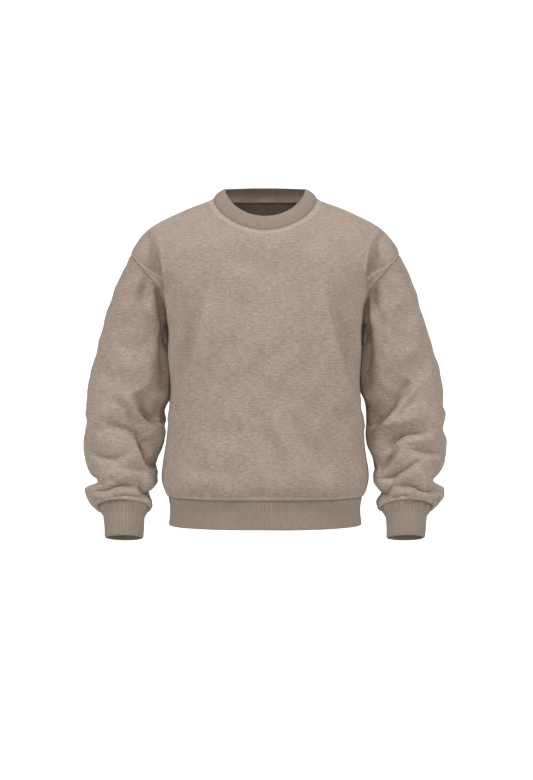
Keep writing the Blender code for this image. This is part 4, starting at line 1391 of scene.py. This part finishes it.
def rib_material(groups):
    """Rib knit: the same yarn in clear knit columns, with painted shade down between the ribs."""
    made, tree, shader = material("rib")
    cloth = flat_cloth(tree)
    yarn = used(tree, groups["heather"], cloth=cloth, dark=RIB_DARK, light=RIB_LIGHT,
                contrast=0.75)
    # the band's inner face partly darkened with painted shade
    inside = blend(tree, math_node(tree, "MULTIPLY", point_value(tree, "inside"), 0.35),
                   yarn.outputs["Color"], INSIDE_PAINTED_SHADE)
    # painted shade: the colour darkens towards RIB_DARK between the raised ribs, where shade falls
    crest = arches(tree, point_value(tree, "rib_turn"))
    valley_shade = math_node(tree, "MULTIPLY", math_node(tree, "SUBTRACT", 1.0, crest), 0.5)
    tree.links.new(blend(tree, valley_shade, inside, RIB_DARK), shader.inputs["Base Color"])
    knit = used(tree, groups["knit"], cloth=cloth, wale=RIB_PITCH * MM / 2, course=0.0013)
    nap = noise(tree, cloth, (700, 900, 1), 3.0, 0.6)
    bumped(tree, shader, ((knit.outputs["Height"], 0.0004, 0.6),
                          (yarn.outputs["Height"], 0.0004, 0.4), (nap, 0.0004, 0.35)))
    give_nap(shader, 0.16)
    return made


def tape_material(groups):
    """Twill tape: fine slanting lines."""
    made, tree, shader = material("tape")
    cloth = flat_cloth(tree)
    place = wired(tree, "ShaderNodeSeparateXYZ", vector=cloth)
    slope = math_node(tree, "ADD", place.outputs[0], place.outputs[1])
    twill = math_node(tree, "ABSOLUTE", math_node(tree, "SINE", math_node(
        tree, "MULTIPLY", slope, math.pi / 0.0011)))
    yarn = used(tree, groups["heather"], cloth=cloth, dark=TAPE_DARK, light=TAPE_LIGHT,
                contrast=0.6)
    tree.links.new(yarn.outputs["Color"], shader.inputs["Base Color"])
    bumped(tree, shader, ((twill, 0.0003, 0.6), (yarn.outputs["Height"], 0.0002, 0.3)))
    return made


def thread_material():
    """Matt sewing thread with a fine twist."""
    made, tree, shader = material("thread")
    place = wired(tree, "ShaderNodeTexCoord").outputs["Object"]
    twist = noise(tree, place, (2600, 2600, 2600), 2.0)
    tree.links.new(blend(tree, twist, THREAD_COLOUR, FLEECE_LIGHT), shader.inputs["Base Color"])
    bumped(tree, shader, ((twist, 0.0002, 0.5),))
    shader.inputs["Roughness"].default_value = 0.7
    return made


# ---------------------------------------------------------------- the garment


def dress(piece, finish, node):
    """A finished piece on the body, in place of its solid."""
    piece.data.materials.clear()
    piece.data.materials.append(finish)
    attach(piece, "root")
    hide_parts(node)
    return piece


def cloth_names():
    """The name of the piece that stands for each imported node."""
    return {name: name + "_cloth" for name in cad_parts}


def build_garment():
    groups = {"heather": heather_group(), "knit": knit_group(), "seam_shade": seam_shade_group()}
    fleece = fleece_material(groups)
    rib = rib_material(groups)
    tape = tape_material(groups)
    thread = thread_material()
    ribbing = ribbing_tree()
    stitching = stitching_tree()
    names = cloth_names()

    plain = {"front": body_panel("front"), "back": body_panel("back")}
    form, turn = sleeve_form(plain["front"], plain["back"])
    ways = seam_ways({"front": (plain["front"], False, 1), "back": (plain["back"], False, -1),
                      "left": (form, True, -1), "right": (mirrored(form), True, 1)})
    body = {}
    for face, way in (("front", 1), ("back", -1)):
        piece, outer, inner = fleece_panel(face, plain[face], way, ways[face])
        piece.name = names[face]
        body[face] = (outer, inner, face_normals(outer, False) * way)
        dress(piece, fleece, face)

    sleeves = {}
    for seed, side, creases in ((31, "left", LEFT_SLEEVE_CREASES),
                                (32, "right", RIGHT_SLEEVE_CREASES)):
        shaped, across, level, seam_gap, normal = fleece_sleeve(form, turn, creases, ways["left"],
                                                                seed)
        shaped = clear_of_body(shaped)
        inner = shaped - normal * FLEECE
        way = -1
        if side == "right":
            shaped, inner, normal, way = mirrored(shaped), mirrored(inner), mirrored(normal), 1
        piece = wall(names["sleeve_" + side], shaped, inner, True, way, (across, level), seam_gap,
                     np.where(np.arange(len(form))[:, None] < CAP_CELLS, FAR, seam_gap))
        sleeves[side] = (shaped, normal)
        dress(piece, fleece, "sleeve_" + side)

    middle = plain["front"].shape[1] // 2
    neck = slice(middle - NECK_CELLS, middle + NECK_CELLS + 1)
    bands = [
        ("hem_rib", waistband(plain["front"], plain["back"])),
        ("neck_rib", collar(plain["front"][-1, neck], plain["back"][-1, neck],
                            ways["front"][-1, neck], ways["back"][-1, neck])),
    ]
    for side, out in (("left", 1.0), ("right", -1.0)):
        mirror = np.array((out, 1.0, 1.0))
        away = -face_normals(form, True)[-1] * mirror
        bands.append(("cuff_" + side, cuff("cuff_" + side, form[-1] * mirror, away, mirror, 81)))
    for node, piece in bands:
        piece.name = names[node]
        grown(piece, ribbing, {"Finish": rib})
        dress(piece, rib, node)

    back_inner, back_normal = body["back"][1:]
    tape_piece = neck_tape(back_inner[-40:, neck], back_normal[-40:, neck])
    tape_piece.name = names["neck_tape"]
    dress(tape_piece, tape, "neck_tape")
    return body, sleeves, neck, stitching, thread


ARMHOLE_STITCH_END = -196   # below this the stitching is lost in the fold
UPPER_ROWS = 60             # rows from a seam among which its stitches lie
HEM_ROWS = 40
CUFF_ROWS = 50


def sew(body, sleeves, neck, stitching, thread):
    """Rows of stitches beside the seams."""
    lift = THREAD * 0.15
    rows = {"neck": [], "hem": [], "armhole_left": [], "armhole_right": [], "cuff_left": [],
            "cuff_right": []}
    for face in ("front", "back"):
        outer, _, normal = body[face]
        upper = outer[::-1, neck][:UPPER_ROWS], normal[::-1, neck][:UPPER_ROWS]
        lower = outer[:HEM_ROWS], normal[:HEM_ROWS]
        for gap in STITCH_GAPS:
            rows["neck"].append(line_from_edge(*upper, gap, lift))
            rows["hem"].append(line_from_edge(*lower, gap + HEM_STITCH_DROP, lift))
            sewn_rows = outer[:, 0, 2] > ARMHOLE_STITCH_END
            for side, turned in (("left", -1), ("right", 1)):
                strip = outer[sewn_rows, ::turned].transpose(1, 0, 2)[:UPPER_ROWS]
                ways = normal[sewn_rows, ::turned].transpose(1, 0, 2)[:UPPER_ROWS]
                rows["armhole_" + side].append(line_from_edge(strip, ways, gap, lift))
    for side, (outer, normal) in sleeves.items():
        end = outer[:-CUFF_ROWS:-1], normal[:-CUFF_ROWS:-1]
        for gap in CUFF_STITCH_GAPS:
            rows["cuff_" + side].append(line_from_edge(*end, gap, lift, True))
    for seed, (name, lines) in enumerate(rows.items()):
        piece = stitch_rows("stitches_" + name, lines, stitching, thread, seed)
        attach(piece, "root")


# ---------------------------------------------------------------- stage, light and camera

CAMERA_PLACE = (0.0026, -2.5, -0.382)
FRAME_HEIGHT = 1.56         # metres seen from top to bottom at the origin's depth
FLOOR_HEIGHT = -1.42
AMBIENT = 0.16              # strength of the white surroundings as a light
CHEST = (0, 0, -0.3)        # what the lamps are turned to
LIGHTS = (                  # name, place, size in metres and power in watts
    ("key_right", (-2.8, -2.2, 2.8), 1.2, 118), ("key_left", (2.8, -2.2, 2.8), 1.2, 112),
    ("front", (0, -4.6, -0.1), 2.0, 38), ("back", (0, 4.6, 1.6), 2.0, 80),
)


def build_stage():
    """A pale floor that runs up into a pale backdrop."""
    profile = [(-6.0, 0.0)]
    for angle in np.radians(np.arange(0, 91, 10)):
        profile.append((5.0 + 2.0 * math.sin(angle), 2.0 * (1 - math.cos(angle))))
    profile.append((7.0, 7.0))
    points, faces = [], []
    for y, z in profile:
        points += [(-9, y, FLOOR_HEIGHT + z), (9, y, FLOOR_HEIGHT + z)]
    for step in range(len(profile) - 1):
        low = 2 * step
        faces.append((low, low + 1, low + 3, low + 2))
    data = bpy.data.meshes.new("floor")
    data.from_pydata(points, [], faces)
    data.shade_smooth()
    floor = placed("floor", data)
    made = bpy.data.materials.new("floor")
    made.use_nodes = True
    shader = made.node_tree.nodes["Principled BSDF"]
    shader.inputs["Base Color"].default_value = (0.8, 0.8, 0.8, 1)
    shader.inputs["Roughness"].default_value = 0.9
    shader.inputs["Emission Color"].default_value = (1, 1, 1, 1)
    seen = wired(made.node_tree, "ShaderNodeLightPath").outputs["Is Camera Ray"]
    made.node_tree.links.new(seen, shader.inputs["Emission Strength"])
    data.materials.append(made)


def soft_light(name, place, size, power):
    """A square lamp turned to the chest."""
    lamp = bpy.data.lights.new(name, "AREA")
    lamp.energy = power
    lamp.size = size
    holder = placed(name, lamp)
    holder.location = place
    holder.rotation_euler = (Vector(CHEST) - Vector(place)).to_track_quat("-Z", "Y").to_euler()


def build_light():
    world = bpy.data.worlds.new("studio")
    bpy.context.scene.world = world
    world.use_nodes = True
    background = world.node_tree.nodes["Background"]
    background.inputs["Color"].default_value = (1, 1, 1, 1)
    seen = wired(world.node_tree, "ShaderNodeLightPath").outputs["Is Camera Ray"]
    strength = math_node(world.node_tree, "MULTIPLY_ADD", seen, 1 - AMBIENT, AMBIENT)
    world.node_tree.links.new(strength, background.inputs["Strength"])
    for name, place, size, power in LIGHTS:
        soft_light(name, place, size, power)


def build_camera():
    lens = bpy.data.cameras.new("camera")
    lens.sensor_width = 36
    lens.lens = lens.sensor_width * -CAMERA_PLACE[1] / FRAME_HEIGHT
    camera = placed("camera", lens)
    camera.location = CAMERA_PLACE
    camera.rotation_euler = (math.pi / 2, 0, 0)
    bpy.context.scene.camera = camera
    bpy.context.scene.view_settings.view_transform = "Standard"


build_camera()
build_light()
build_stage()
sew(*build_garment())
